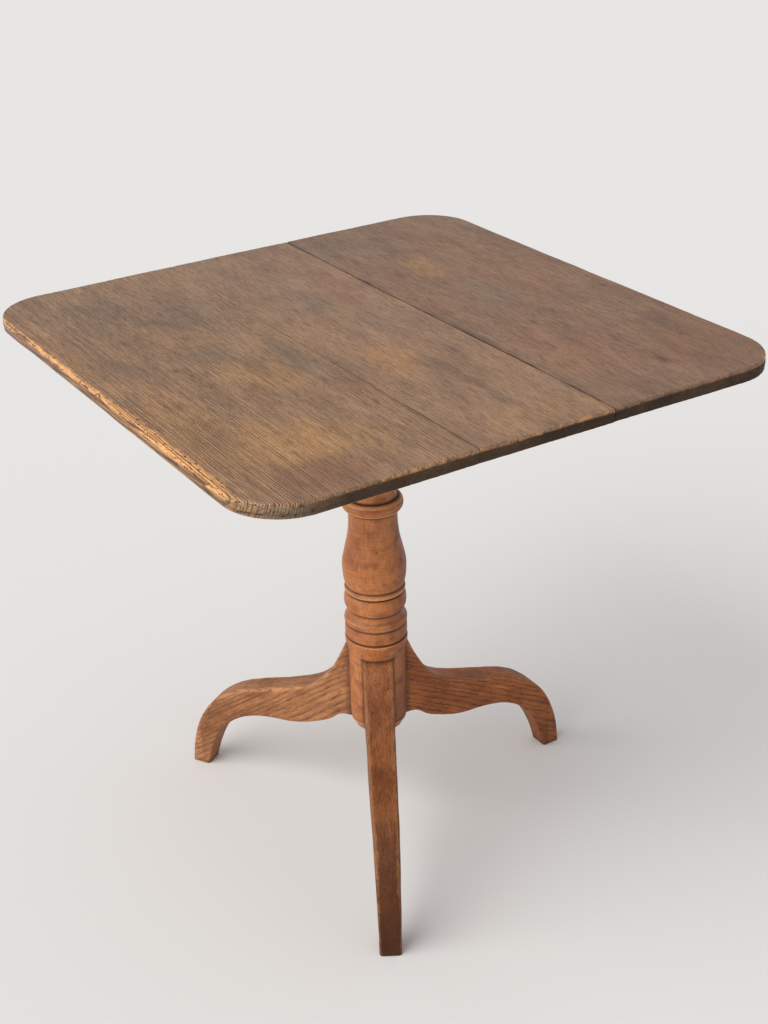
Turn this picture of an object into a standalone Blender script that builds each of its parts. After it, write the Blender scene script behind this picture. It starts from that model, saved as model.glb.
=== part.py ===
"""Tilt top table, drawn in metres with +Z up.

Three oak boards, edge-joined with loose tongues, lie across two battens. The battens
straddle a hinge block that is wedged on the head of a turned column, and they turn on
two wooden pins in that block. Two turn buttons under the battens swing beneath the
block to hold the top level. Three legs slide into the foot of the column on dovetails.

The origin is on the floor under the middle of the top. X runs across the boards and
Y along their grain.
"""

import math

import bmesh
import bpy
from mathutils import Matrix, Vector

# ------------------------------------------------------------------ clearances
FIT = 0.0003                # between pieces that touch
RUNNING_GAP = 0.0008        # between the block and the battens that turn beside it
TILT_GAP = 0.0005           # between the block and what passes over and under it
OVERRUN = 0.010             # of a cutting shape past the face it leaves by

# ------------------------------------------------------------------ top
TABLE_HEIGHT = 0.730
TOP_WIDTH = 0.722           # across the boards
BOARD_LENGTH = 0.740        # along the grain
BOARD_THICKNESS = 0.019
BOARD_SLIP = 0.0010         # the right board has crept this far along the open seam
LEFT_BOARD_WIDTH = 0.2698
MIDDLE_BOARD_WIDTH = 0.1822
TIGHT_SEAM = 0.0004         # left of the middle board
OPEN_SEAM = 0.0018          # right of the middle board
CORNER_RADIUS = 0.073
UPPER_ARRIS = 0.003
LOWER_ARRIS = 0.005
CORNER_STEPS = 7
ARRIS_STEPS = 3

TONGUE_THICKNESS = 0.006
TONGUE_WIDTH = 0.018
TONGUE_STOP = 0.060         # from the end of the boards to the end of the tongue

# ------------------------------------------------------------------ battens and block
BATTEN_LENGTH = 0.600
BATTEN_WIDTH = 0.030
BATTEN_HEIGHT = 0.040
BATTEN_TAPER_LENGTH = 0.050
BATTEN_TAPER_DROP = 0.022
SOFTENED_EDGE = 0.0012
SOFTENED_ANGLE = math.radians(50)       # edges sharper than this are softened
SHADED_ANGLE = math.radians(35)         # edges sharper than this stay crisp on round work

BLOCK_WIDTH = 0.120         # between the battens
BLOCK_FRONT = 0.100         # from the column's axis to the free end
PIVOT_SETBACK = 0.080       # from the column's axis to the tilt axis
PIN_RADIUS = 0.008
PIN_DEPTH = 0.028           # in the block
PIN_INSET = 0.001           # inside the batten's outer face

BUTTON_LENGTH = 0.062
BUTTON_WIDTH = 0.022
BUTTON_THICKNESS = 0.010
BUTTON_ADVANCE = 0.078      # from the column's axis to the button's screw

# ------------------------------------------------------------------ screws
SCREW_HEAD_RADIUS = 0.0045
SCREW_HEAD_RIM = 0.0004
SCREW_HEAD_CONE = 0.0026
SCREW_SHANK_RADIUS = 0.0023
SCREW_POINT = 0.010
SCREW_SINK = 0.0004         # head below the wood around it
SCREW_SLOT_WIDTH = 0.0012
SCREW_SLOT_DEPTH = 0.0015
SCREW_BITE = 0.0105         # of a batten screw in the board
SCREW_INSET = 0.040         # from a board's edge, or the batten's end
BUTTON_SCREW_BITE = 0.022   # in the batten

# ------------------------------------------------------------------ column
COLUMN_X = -0.0050          # the column stands a little off the middle of the top
COLUMN_Y = -0.0077
BASE_RADIUS = 0.0395
TENON_RADIUS = 0.018
SHOULDER_RADIUS = 0.030
SHAFT_TOP_RADIUS = 0.0235
KERF_DEPTH = 0.032
KERF_MOUTH = 0.0050
KERF_ROOT = 0.0022
WEDGE_STOP = 0.003          # between the wedge's thin end and the bottom of its kerf
WEDGE_INSET = 0.0012        # of each end of the wedge inside the tenon
COLUMN_FOOT = 0.0095        # of turned end below the legs
ROUND_STEPS = 32
SCREW_STEPS = 10
BORE_STEPS = 24
NOSE_STEPS = 14
BUTTON_STEPS = 8

# ------------------------------------------------------------------ legs
LEG_SPREAD = 0.3110         # from the column's axis to the outside of a foot
LEG_RISE = 0.2705           # from the floor to the leg's tip at the column
LEG_UPPER_ARRIS = 0.0042
LEG_LOWER_ARRIS = 0.0025
SEAT_MARGIN = 0.0015        # of flat at each side of a leg
SEAT_HEADROOM = 0.0008      # of flat above a leg
TAIL_DEPTH = 0.012
TAIL_MOUTH = 0.016
TAIL_BACK = 0.022
TAIL_STOP = 0.007           # from the leg's rise down to its tail
TAIL_OVERLAP = 0.004        # of the tail inside the leg it is joined to
ROOT_EASE = 0.1             # share of the arris that is left at the leg's root

# The outline of a leg as runs of a cubic curve, in fractions of its reach from the
# column's flat to the foot and of its rise from the floor. The first run of the upper
# edge differs: two of the legs stand higher against the column than the front one.
HIGH_SHOULDER = ((0.0, 1.045), (0.020, 1.070), (0.060, 0.870))
LOW_SHOULDER = ((0.0, 0.994), (0.046, 0.998), (0.091, 0.847))
LEG_UPPER = (
    (0.188, 0.751), (0.256, 0.685), (0.385, 0.650),
    (0.601, 0.581), (0.835, 0.506), (0.980, 0.317), (1.0, 0.0),
)
LEG_LOWER = (
    (0.0, 0.596), (0.096, 0.591), (0.088, 0.546),
    (0.161, 0.513), (0.346, 0.429), (0.390, 0.446),
    (0.483, 0.434), (0.749, 0.400), (0.837, 0.247), (0.900, 0.0),
)
LEG_STEPS = (6, 7, 9)       # stations along each run
LEG_WIDTHS = (0.0415, 0.0400, 0.0370, 0.0290)       # at the column, run ends and foot
LEG_CORNER_STEPS = 2
LEGS = (
    ("leg_right", 0.0, HIGH_SHOULDER),
    ("leg_left", 121.5, HIGH_SHOULDER),
    ("leg_front", 239.75, LOW_SHOULDER),
)

# ------------------------------------------------------------------ worked-out places
UNDERSIDE = TABLE_HEIGHT - BOARD_THICKNESS
BATTEN_TOP = UNDERSIDE - FIT
BATTEN_BOTTOM = BATTEN_TOP - BATTEN_HEIGHT
BLOCK_TOP = UNDERSIDE - TILT_GAP
BLOCK_BOTTOM = BATTEN_BOTTOM + TILT_GAP
BLOCK_NOSE = (BLOCK_TOP - BLOCK_BOTTOM) / 2
PIVOT = Vector((COLUMN_X - PIVOT_SETBACK, COLUMN_Y, (BLOCK_TOP + BLOCK_BOTTOM) / 2))
BATTEN_OFFSET = BLOCK_WIDTH / 2 + RUNNING_GAP + BATTEN_WIDTH / 2
BUTTON_TOP = BATTEN_BOTTOM - FIT
BUTTON_X = COLUMN_X + BUTTON_ADVANCE
SHOULDER = BLOCK_BOTTOM - FIT
SEAT = math.sqrt(BASE_RADIUS ** 2 - (LEG_WIDTHS[0] / 2 + SEAT_MARGIN) ** 2)
LEG_ROOT = SEAT + FIT
LEG_REACH = LEG_SPREAD - LEG_ROOT
LEG_HEEL = LEG_RISE * LEG_LOWER[0][1]
TAIL_TOP = LEG_RISE - TAIL_STOP
COLLAR_BOTTOM = LEG_RISE + SEAT_HEADROOM
COLUMN_BOTTOM = LEG_HEEL - COLUMN_FOOT

LEFT_EDGE = -TOP_WIDTH / 2
MIDDLE_EDGE = LEFT_EDGE + LEFT_BOARD_WIDTH + TIGHT_SEAM
RIGHT_EDGE = MIDDLE_EDGE + MIDDLE_BOARD_WIDTH + OPEN_SEAM
BOARDS = (
    ("top_board_left", LEFT_EDGE, LEFT_EDGE + LEFT_BOARD_WIDTH, -BOARD_SLIP / 2),
    ("top_board_middle", MIDDLE_EDGE, MIDDLE_EDGE + MIDDLE_BOARD_WIDTH, -BOARD_SLIP / 2),
    ("top_board_right", RIGHT_EDGE, TOP_WIDTH / 2, BOARD_SLIP / 2),
)
SEAMS = {
    "left": MIDDLE_EDGE - TIGHT_SEAM / 2,
    "right": RIGHT_EDGE - OPEN_SEAM / 2,
}
SIDES = (("front", -1), ("back", 1))

BATTEN_SCREW_LENGTH = BATTEN_HEIGHT + FIT + SCREW_BITE - SCREW_SINK
BUTTON_SCREW_LENGTH = BUTTON_THICKNESS + FIT + BUTTON_SCREW_BITE - SCREW_SINK
BATTEN_SCREW_Z = BATTEN_BOTTOM + SCREW_SINK
BUTTON_SCREW_Z = BUTTON_TOP - BUTTON_THICKNESS + SCREW_SINK

# ------------------------------------------------------------------ finishes
OAK_TOP = (0.27, 0.17, 0.12)
OAK_EDGE = (0.24, 0.14, 0.08)
OAK_LEG = (0.26, 0.11, 0.05)
FRUITWOOD = (0.38, 0.15, 0.06)
IRON = (0.10, 0.09, 0.08)


def clear_scene():
    for item in list(bpy.data.objects):
        bpy.data.objects.remove(item, do_unlink=True)


def finish(name, colour, roughness, metallic=0.0):
    made = bpy.data.materials.new(name + "_finish")
    made.use_nodes = True
    shader = made.node_tree.nodes["Principled BSDF"]
    shader.inputs["Base Color"].default_value = (*colour, 1.0)
    shader.inputs["Roughness"].default_value = roughness
    shader.inputs["Metallic"].default_value = metallic
    return made


# ------------------------------------------------------------------ outlines
def arc(centre, radius, start, end, steps):
    """Points on an arc, angles in degrees."""
    points = []
    for i in range(steps + 1):
        angle = math.radians(start + (end - start) * i / steps)
        points.append((centre[0] + radius * math.cos(angle), centre[1] + radius * math.sin(angle)))
    return points


def cubic(a, b, c, d, steps):
    """Points on one cubic curve, its last point left out."""
    points = []
    for i in range(steps):
        t = i / steps
        s = 1.0 - t
        weights = (s ** 3, 3 * s * s * t, 3 * s * t * t, t ** 3)
        points.append(tuple(sum(w * p[k] for w, p in zip(weights, (a, b, c, d))) for k in (0, 1)))
    return points


def rounded_rectangle(low, high, radius, steps):
    corners = (
        (high[0] - radius, high[1] - radius, 0),
        (low[0] + radius, high[1] - radius, 90),
        (low[0] + radius, low[1] + radius, 180),
        (high[0] - radius, low[1] + radius, 270),
    )
    points = []
    for x, y, start in corners:
        points += arc((x, y), radius, start, start + 90, steps)
    return points


# ------------------------------------------------------------------ mesh making
def make_object(name, mesh, look=None):
    made = bpy.data.objects.new(name, mesh)
    bpy.context.scene.collection.objects.link(made)
    if look is not None:
        mesh.materials.append(look)
    return made


def mesh_from(name, bm):
    bmesh.ops.recalc_face_normals(bm, faces=bm.faces)
    mesh = bpy.data.meshes.new(name)
    bm.to_mesh(mesh)
    bm.free()
    return mesh


def loft(rings):
    """A closed skin through rings of equal point count, capped at both ends."""
    bm = bmesh.new()
    rows = [[bm.verts.new(point) for point in ring] for ring in rings]
    for lower, upper in zip(rows, rows[1:]):
        for i in range(len(lower)):
            j = (i + 1) % len(lower)
            bm.faces.new((lower[i], lower[j], upper[j], upper[i]))
    bm.faces.new(rows[0])
    bm.faces.new(rows[-1])
    return bm


def turned(profile, steps):
    """A solid of revolution about Z; the profile is (radius, height) from pole to pole."""
    bm = bmesh.new()
    rows = []
    for radius, height in profile:
        if radius == 0:
            rows.append([bm.verts.new((0, 0, height))])
            continue
        ring = arc((0, 0), radius, 0, 360, steps)[:-1]
        rows.append([bm.verts.new((x, y, height)) for x, y in ring])
    for lower, upper in zip(rows, rows[1:]):
        for i in range(steps):
            j = (i + 1) % steps
            if len(lower) == 1:
                bm.faces.new((lower[0], upper[j], upper[i]))
            elif len(upper) == 1:
                bm.faces.new((lower[i], lower[j], upper[0]))
            else:
                bm.faces.new((lower[i], lower[j], upper[j], upper[i]))
    return bm


def extruded(outline, low, high, normal):
    """An outline drawn in the plane across the given axis, carried from low to high."""
    place = {
        "x": lambda p, d: (d, p[0], p[1]),
        "y": lambda p, d: (p[0], d, p[1]),
        "z": lambda p, d: (p[0], p[1], d),
    }[normal]
    return loft([[place(point, depth) for point in outline] for depth in (low, high)])


def box(low, high):
    outline = ((low[0], low[1]), (high[0], low[1]), (high[0], high[1]), (low[0], high[1]))
    return extruded(outline, low[2], high[2], "z")


def merge(pieces):
    """One mesh that holds several separate shapes."""
    whole = bmesh.new()
    for piece in pieces:
        bmesh.ops.recalc_face_normals(piece, faces=piece.faces)
        part = bpy.data.meshes.new("shape")
        piece.to_mesh(part)
        piece.free()
        whole.from_mesh(part)
        bpy.data.meshes.remove(part)
    return whole


def moved(bm, offset, turn=0.0):
    """Turn a shape about Z, then shift it."""
    spin = Matrix.Rotation(math.radians(turn), 4, "Z")
    bmesh.ops.transform(bm, matrix=Matrix.Translation(Vector(offset)) @ spin, verts=bm.verts)
    return bm


def lay_along_y(bm):
    bmesh.ops.transform(bm, matrix=Matrix.Rotation(math.radians(-90), 4, "X"), verts=bm.verts)
    return bm


def cylinder(radius, low, high, steps=BORE_STEPS):
    return extruded(arc((0, 0), radius, 0, 360, steps)[:-1], low, high, "z")


def place(item, where, parent=None):
    """Set an item's place in the world, under its parent if it has one."""
    origin = parent.location if parent else Vector((0, 0, 0))
    item.parent = parent
    item.location = Vector(where) - origin
    return item


def guide(name, bm):
    cutter = make_object(name, mesh_from(name, bm))
    cutter.hide_render = True
    cutter.display_type = "WIRE"
    return cutter


def combine(item, name, bm, operation):
    """Cut a shape, given in world places, from an item, or join it on."""
    step = item.modifiers.new(name, "BOOLEAN")
    step.operation = operation
    step.solver = "EXACT"
    step.object = guide(item.name + "_" + name, bm)


def soften(item):
    step = item.modifiers.new("softened", "BEVEL")
    step.width = SOFTENED_EDGE
    step.segments = 1
    step.limit_method = "ANGLE"
    step.angle_limit = SOFTENED_ANGLE


def smooth_round(mesh):
    mesh.shade_smooth()
    mesh.set_sharp_from_angle(angle=SHADED_ANGLE)


# ------------------------------------------------------------------ screws
def screw_profile(length, grow=0.0):
    """Pole to pole from the head up; grow is the clearance of the hole for it."""
    head = SCREW_HEAD_RADIUS + grow
    shank = SCREW_SHANK_RADIUS + grow
    cone_top = SCREW_HEAD_RIM + SCREW_HEAD_CONE
    return [
        (0, 0),
        (head, 0),
        (head, SCREW_HEAD_RIM + grow),
        (shank, cone_top + grow),
        (shank, length - SCREW_POINT),
        (SCREW_SHANK_RADIUS / 4 + grow, length + grow),
        (0, length + grow),
    ]


def screw_mesh(name, length):
    """A countersunk wood screw with its head at z 0, pointing up."""
    blank = make_object(name, mesh_from(name, turned(screw_profile(length), SCREW_STEPS)))
    half = SCREW_SLOT_WIDTH / 2
    reach = SCREW_HEAD_RADIUS * 2
    combine(blank, "slot", box((-reach, -half, -reach), (reach, half, SCREW_SLOT_DEPTH)), "DIFFERENCE")
    graph = bpy.context.evaluated_depsgraph_get()
    mesh = bpy.data.meshes.new_from_object(blank.evaluated_get(graph))
    bpy.data.objects.remove(bpy.data.objects[name + "_slot"])
    bpy.data.objects.remove(blank)
    mesh.name = name
    return mesh


def screw_hole(length, where):
    """A screw's hole in world places, opening out below the head."""
    profile = screw_profile(length, FIT)
    below = -SCREW_SINK - BUTTON_THICKNESS / 4
    profile[0] = (0, below)
    profile[1] = (profile[1][0], below)
    return moved(turned(profile, SCREW_STEPS), where)


def batten_screw_places():
    """Two screws in each board, along a batten."""
    places = []
    for _, low, high, _ in BOARDS:
        places.append(max(low, -BATTEN_LENGTH / 2) + SCREW_INSET)
        places.append(min(high, BATTEN_LENGTH / 2) - SCREW_INSET)
    return places


def batten_y(side):
    return COLUMN_Y + side * BATTEN_OFFSET


# ------------------------------------------------------------------ the top
def slab_rings(slip):
    """The whole top as stacked outlines: eased lower arris, upright edge, eased upper arris."""
    half = (TOP_WIDTH / 2, BOARD_LENGTH / 2)
    below = arc((LOWER_ARRIS, UNDERSIDE + LOWER_ARRIS), LOWER_ARRIS, 270, 180, ARRIS_STEPS)
    above = arc((UPPER_ARRIS, TABLE_HEIGHT - UPPER_ARRIS), UPPER_ARRIS, 180, 90, ARRIS_STEPS)
    rings = []
    for inset, height in below + above:
        low = (inset - half[0], inset - half[1] + slip)
        high = (half[0] - inset, half[1] - inset + slip)
        outline = rounded_rectangle(low, high, CORNER_RADIUS - inset, CORNER_STEPS)
        rings.append([(x, y, height) for x, y in outline])
    return rings


def saw(bm, x, keep):
    """Cut a slab at x and close the cut; keep is +1 for the part beyond it."""
    geometry = bm.verts[:] + bm.edges[:] + bm.faces[:]
    cut = bmesh.ops.bisect_plane(
        bm, geom=geometry, plane_co=(x, 0, 0), plane_no=(-keep, 0, 0), clear_outer=True
    )
    edges = [item for item in cut["geom_cut"] if isinstance(item, bmesh.types.BMEdge)]
    bmesh.ops.contextual_create(bm, geom=edges)


def tongue_box(seam, grow):
    middle = UNDERSIDE + BOARD_THICKNESS / 2
    reach = BOARD_LENGTH / 2 - TONGUE_STOP + grow
    half_width = TONGUE_WIDTH / 2 + grow
    half_thickness = TONGUE_THICKNESS / 2 + grow
    return box(
        (seam - half_width, -reach, middle - half_thickness),
        (seam + half_width, reach, middle + half_thickness),
    )


def make_boards(tilt):
    for name, low, high, slip in BOARDS:
        bm = loft(slab_rings(slip))
        if low > LEFT_EDGE:
            saw(bm, low, 1)
        if high < TOP_WIDTH / 2:
            saw(bm, high, -1)
        mesh = mesh_from(name, moved(bm, -tilt.location))
        board = make_object(name, mesh, finish(name, OAK_TOP, 0.5))
        place(board, tilt.location, tilt)
        holes = []
        for seam in SEAMS.values():
            if abs(seam - low) < TONGUE_WIDTH or abs(seam - high) < TONGUE_WIDTH:
                holes.append(tongue_box(seam, FIT))
        for x in batten_screw_places():
            if low < x < high:
                for _, side in SIDES:
                    where = (x, batten_y(side), BATTEN_SCREW_Z)
                    holes.append(screw_hole(BATTEN_SCREW_LENGTH, where))
        combine(board, "holes", merge(holes), "DIFFERENCE")


def make_tongues(tilt):
    for side, seam in SEAMS.items():
        name = "top_tongue_" + side
        mesh = mesh_from(name, moved(tongue_box(seam, 0.0), -tilt.location))
        place(make_object(name, mesh, finish(name, OAK_EDGE, 0.6)), tilt.location, tilt)


def make_battens(tilt):
    half = BATTEN_LENGTH / 2
    drop = BATTEN_BOTTOM + BATTEN_TAPER_DROP
    outline = (
        (-half, BATTEN_TOP), (-half, drop), (-half + BATTEN_TAPER_LENGTH, BATTEN_BOTTOM),
        (half - BATTEN_TAPER_LENGTH, BATTEN_BOTTOM), (half, drop), (half, BATTEN_TOP),
    )
    for label, side in SIDES:
        name = "batten_" + label
        centre = batten_y(side)
        bm = extruded(outline, centre - BATTEN_WIDTH / 2, centre + BATTEN_WIDTH / 2, "y")
        mesh = mesh_from(name, moved(bm, -tilt.location))
        batten = make_object(name, mesh, finish(name, OAK_EDGE, 0.6))
        place(batten, tilt.location, tilt)
        soften(batten)
        holes = [screw_hole(BUTTON_SCREW_LENGTH, (BUTTON_X, centre, BUTTON_SCREW_Z))]
        for x in batten_screw_places():
            holes.append(screw_hole(BATTEN_SCREW_LENGTH, (x, centre, BATTEN_SCREW_Z)))
        bore = lay_along_y(cylinder(PIN_RADIUS + FIT, -BATTEN_WIDTH, BATTEN_WIDTH))
        holes.append(moved(bore, (PIVOT.x, centre, PIVOT.z)))
        combine(batten, "holes", merge(holes), "DIFFERENCE")


def make_batten_screws(tilt):
    mesh = screw_mesh("batten_screw", BATTEN_SCREW_LENGTH)
    mesh.materials.append(finish("batten_screw", IRON, 0.55, 1.0))
    smooth_round(mesh)
    number = 0
    for _, side in SIDES:
        for x in batten_screw_places():
            number += 1
            screw = make_object("batten_screw_%02d" % number, mesh)
            place(screw, (x, batten_y(side), BATTEN_SCREW_Z), tilt)


# ------------------------------------------------------------------ turn buttons
def make_turn_buttons(tilt):
    """Each button has its origin at its screw; at rest it lies along the batten."""
    radius = BUTTON_WIDTH / 2
    straight = BUTTON_LENGTH - BUTTON_WIDTH
    outline = arc((straight, 0), radius, -90, 90, BUTTON_STEPS)
    outline += arc((0, 0), radius, 90, 270, BUTTON_STEPS)
    screw = screw_mesh("button_screw", BUTTON_SCREW_LENGTH)
    screw.materials.append(finish("button_screw", IRON, 0.55, 1.0))
    smooth_round(screw)
    for label, side in SIDES:
        centre = batten_y(side)
        name = "turn_button_" + label
        mesh = mesh_from(name, extruded(outline, -BUTTON_THICKNESS, 0, "z"))
        button = make_object(name, mesh, finish(name, OAK_EDGE, 0.55))
        place(button, (BUTTON_X, centre, BUTTON_TOP), tilt)
        soften(button)
        where = (BUTTON_X, centre, BUTTON_SCREW_Z)
        combine(button, "hole", screw_hole(BUTTON_SCREW_LENGTH, where), "DIFFERENCE")
        place(make_object("button_screw_" + label, screw), where, tilt)


# ------------------------------------------------------------------ block, pins and wedge
def make_block():
    """The nose is round about the tilt axis, so that the boards roll past it."""
    front = COLUMN_X + BLOCK_FRONT
    outline = arc((PIVOT.x, PIVOT.z), BLOCK_NOSE, 90, 270, NOSE_STEPS)
    outline += [(front, BLOCK_BOTTOM), (front, BLOCK_TOP)]
    half = BLOCK_WIDTH / 2
    mesh = mesh_from("hinge_block", extruded(outline, COLUMN_Y - half, COLUMN_Y + half, "y"))
    block = make_object("hinge_block", mesh, finish("hinge_block", OAK_EDGE, 0.6))
    soften(block)
    socket = cylinder(TENON_RADIUS + FIT, BLOCK_BOTTOM - OVERRUN, BLOCK_TOP + OVERRUN, ROUND_STEPS)
    holes = [moved(socket, (COLUMN_X, COLUMN_Y, 0))]
    for _, side in SIDES:
        low, high = sorted((side * (half - PIN_DEPTH - FIT), side * (half + OVERRUN)))
        holes.append(moved(lay_along_y(cylinder(PIN_RADIUS + FIT, low, high)), PIVOT))
    combine(block, "holes", merge(holes), "DIFFERENCE")


def make_pins():
    inner = BLOCK_WIDTH / 2 - PIN_DEPTH
    outer = BLOCK_WIDTH / 2 + RUNNING_GAP + BATTEN_WIDTH - PIN_INSET
    for label, side in SIDES:
        name = "hinge_pin_" + label
        low, high = sorted((side * inner, side * outer))
        mesh = mesh_from(name, lay_along_y(cylinder(PIN_RADIUS, low, high)))
        pin = make_object(name, mesh, finish(name, OAK_LEG, 0.5))
        place(pin, PIVOT)
        smooth_round(mesh)


def kerf_outline(low, high, shrink):
    """The kerf seen along Y, between two heights: it widens evenly to its mouth."""
    slope = (KERF_MOUTH - KERF_ROOT) / 2 / KERF_DEPTH
    narrow = KERF_MOUTH / 2 - slope * (BLOCK_TOP - low) - shrink
    wide = KERF_MOUTH / 2 - slope * (BLOCK_TOP - high) - shrink
    return [(-narrow, low), (narrow, low), (wide, high), (-wide, high)]


def make_wedge():
    half = TENON_RADIUS - WEDGE_INSET
    outline = kerf_outline(BLOCK_TOP - KERF_DEPTH + WEDGE_STOP, BLOCK_TOP, FIT)
    bm = extruded(outline, -half, half, "y")
    mesh = mesh_from("tenon_wedge", bm)
    wedge = make_object("tenon_wedge", mesh, finish("tenon_wedge", FRUITWOOD, 0.6))
    place(wedge, (COLUMN_X, COLUMN_Y, 0))


# ------------------------------------------------------------------ column
def bead(low, high, root, crest, steps=6):
    """A half round that swells from root to crest and back."""
    points = []
    for i in range(steps + 1):
        angle = math.pi * i / steps
        height = (low + high) / 2 - (high - low) / 2 * math.cos(angle)
        points.append((root + (crest - root) * math.sin(angle), height))
    return points


def column_profile():
    """The turning from its foot to the top of its tenon, as (radius, height)."""
    base = BASE_RADIUS
    foot = COLUMN_BOTTOM
    profile = [(0, foot), (base - 0.0070, foot), (base - 0.0060, foot + 0.0010)]
    profile += [(base - 0.0055, foot + 0.0050), (base - 0.0040, foot + 0.0075)]
    profile += [(base - 0.0025, foot + 0.0085)]
    profile += bead(foot + 0.0085, foot + 0.0155, base - 0.0025, base - 0.0007, 4)
    profile += [(base, foot + 0.0165)]

    # Everything above the legs is measured up from the ledge over the front one.
    seat = COLLAR_BOTTOM
    profile += [(base, seat + 0.0010), (base + 0.0004, seat + 0.0045)]
    profile += [(base + 0.0017, seat + 0.0095), (base + 0.0032, seat + 0.0150)]
    profile += [(base + 0.0036, seat + 0.0217), (base + 0.0012, seat + 0.0228)]
    profile += [(base + 0.0012, seat + 0.0243), (base + 0.0026, seat + 0.0252)]
    profile += [(base + 0.0031, seat + 0.0330), (base + 0.0026, seat + 0.0415)]
    profile += [(base + 0.0013, seat + 0.0428), (base + 0.0013, seat + 0.0442)]
    profile += [(base + 0.0027, seat + 0.0455), (base + 0.0035, seat + 0.0490)]
    profile += [(base + 0.0032, seat + 0.0525), (base + 0.0005, seat + 0.0565)]
    profile += [(base - 0.0012, seat + 0.0610), (base - 0.0019, seat + 0.0660)]
    profile += bead(seat + 0.0665, seat + 0.0920, base - 0.0019, base + 0.0030, 6)
    profile += [(base - 0.0003, seat + 0.0930)]
    profile += bead(seat + 0.0935, seat + 0.1005, base + 0.0005, base + 0.0020, 4)
    profile += [(base + 0.0001, seat + 0.1012), (base + 0.0001, seat + 0.1028)]

    vase_low = seat + 0.1040
    vase_wide = seat + 0.1355
    vase_neck = seat + 0.2050
    profile += cubic(
        (0.0400, vase_low), (0.0429, vase_low + 0.0065),
        (0.0440, vase_wide - 0.0110), (0.0433, vase_wide), 4,
    )
    profile += cubic(
        (0.0433, vase_wide), (0.0415, vase_wide + 0.0180),
        (0.0328, vase_neck - 0.0340), (0.0328, vase_neck), 7,
    )
    ring = seat + 0.2090
    profile += [(0.0328, vase_neck), (0.0328, ring)]
    profile += [(0.0341, ring + 0.0006), (0.0341, ring + 0.0045)]
    profile += bead(ring + 0.0050, ring + 0.0234, 0.0345, 0.0412, 6)
    profile += [(0.0330, ring + 0.0238), (0.0328, ring + 0.0258)]

    # A hollow leads to the plain shaft, which runs up to a small bead under the block.
    shaft = ring + 0.0263
    profile += cubic(
        (0.0326, shaft), (0.0290, shaft + 0.0060),
        (0.0272, shaft + 0.0180), (0.0268, shaft + 0.0330), 5,
    )
    top = SHOULDER
    profile += [(0.0268, shaft + 0.0330), (SHAFT_TOP_RADIUS, top - 0.0260)]
    profile += bead(top - 0.0255, top - 0.0195, SHAFT_TOP_RADIUS, SHAFT_TOP_RADIUS + 0.0030, 4)
    profile += [(SHAFT_TOP_RADIUS, top - 0.0185), (SHAFT_TOP_RADIUS + 0.0015, top - 0.0110)]
    profile += [(SHOULDER_RADIUS - 0.0015, top - 0.0055), (SHOULDER_RADIUS, top - 0.0045)]
    profile += [(SHOULDER_RADIUS, top), (TENON_RADIUS, top), (TENON_RADIUS, BLOCK_TOP)]
    profile += [(0, BLOCK_TOP)]
    return profile


def tail_outline(grow, reach_out):
    """The dovetail seen from above, pointing at the axis from a flat on the +X side."""
    mouth = TAIL_MOUTH / 2 + grow
    back = TAIL_BACK / 2 + grow
    deep = SEAT - TAIL_DEPTH - grow
    half = [(deep, back), (SEAT, mouth), (reach_out, mouth)]
    return [(x, -y) for x, y in half] + half[::-1]


def make_column():
    mesh = mesh_from("column", turned(column_profile(), ROUND_STEPS))
    column = make_object("column", mesh, finish("column", FRUITWOOD, 0.45))
    smooth_round(mesh)
    axis = (COLUMN_X, COLUMN_Y, 0)
    place(column, axis)
    under = COLUMN_BOTTOM - OVERRUN
    far = BASE_RADIUS * 1.5
    for name, angle, shoulder in LEGS:
        flat = box((SEAT, -far, under), (far, far, LEG_RISE * shoulder[0][1] + SEAT_HEADROOM))
        combine(column, name + "_flat", moved(flat, axis, angle), "DIFFERENCE")
        slot = extruded(tail_outline(FIT, far), under, TAIL_TOP + FIT, "z")
        combine(column, name + "_slot", moved(slot, axis, angle), "DIFFERENCE")
    outline = kerf_outline(BLOCK_TOP - KERF_DEPTH, BLOCK_TOP + OVERRUN, 0.0)
    combine(column, "kerf", moved(extruded(outline, -far, far, "y"), axis), "DIFFERENCE")


# ------------------------------------------------------------------ legs
def leg_edge(controls):
    points = []
    for run, steps in enumerate(LEG_STEPS):
        corner = [(LEG_ROOT + LEG_REACH * u, LEG_RISE * v) for u, v in controls[3 * run:3 * run + 4]]
        points += cubic(*corner, steps)
    points.append((LEG_ROOT + LEG_REACH * controls[-1][0], LEG_RISE * controls[-1][1]))
    return points


def leg_widths():
    """The width at each station, in straight tapers between the ends of the runs."""
    widths = []
    for run, steps in enumerate(LEG_STEPS):
        start, end = LEG_WIDTHS[run:run + 2]
        widths += [start + (end - start) * i / steps for i in range(steps)]
    widths.append(LEG_WIDTHS[-1])
    return widths


def leg_section(upper, lower, width, ease):
    """A slice across the leg: flat sides, well rounded above and a little below."""
    across = Vector((lower[0] - upper[0], lower[1] - upper[1]))
    height = across.length
    down = across / height
    section = []
    corners = (
        (LEG_UPPER_ARRIS * ease, 1, 0, 90), (LEG_UPPER_ARRIS * ease, 1, 90, 180),
        (LEG_LOWER_ARRIS * ease, -1, 180, 270), (LEG_LOWER_ARRIS * ease, -1, 270, 360),
    )
    for radius, above, start, end in corners:
        side = 1 if start in (0, 270) else -1
        centre_y = side * (width / 2 - radius)
        centre_depth = radius if above == 1 else height - radius
        for y, up in arc((centre_y, -centre_depth), radius, start, end, LEG_CORNER_STEPS):
            section.append((upper[0] - down.x * up, y, upper[1] - down.y * up))
    return section


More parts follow.
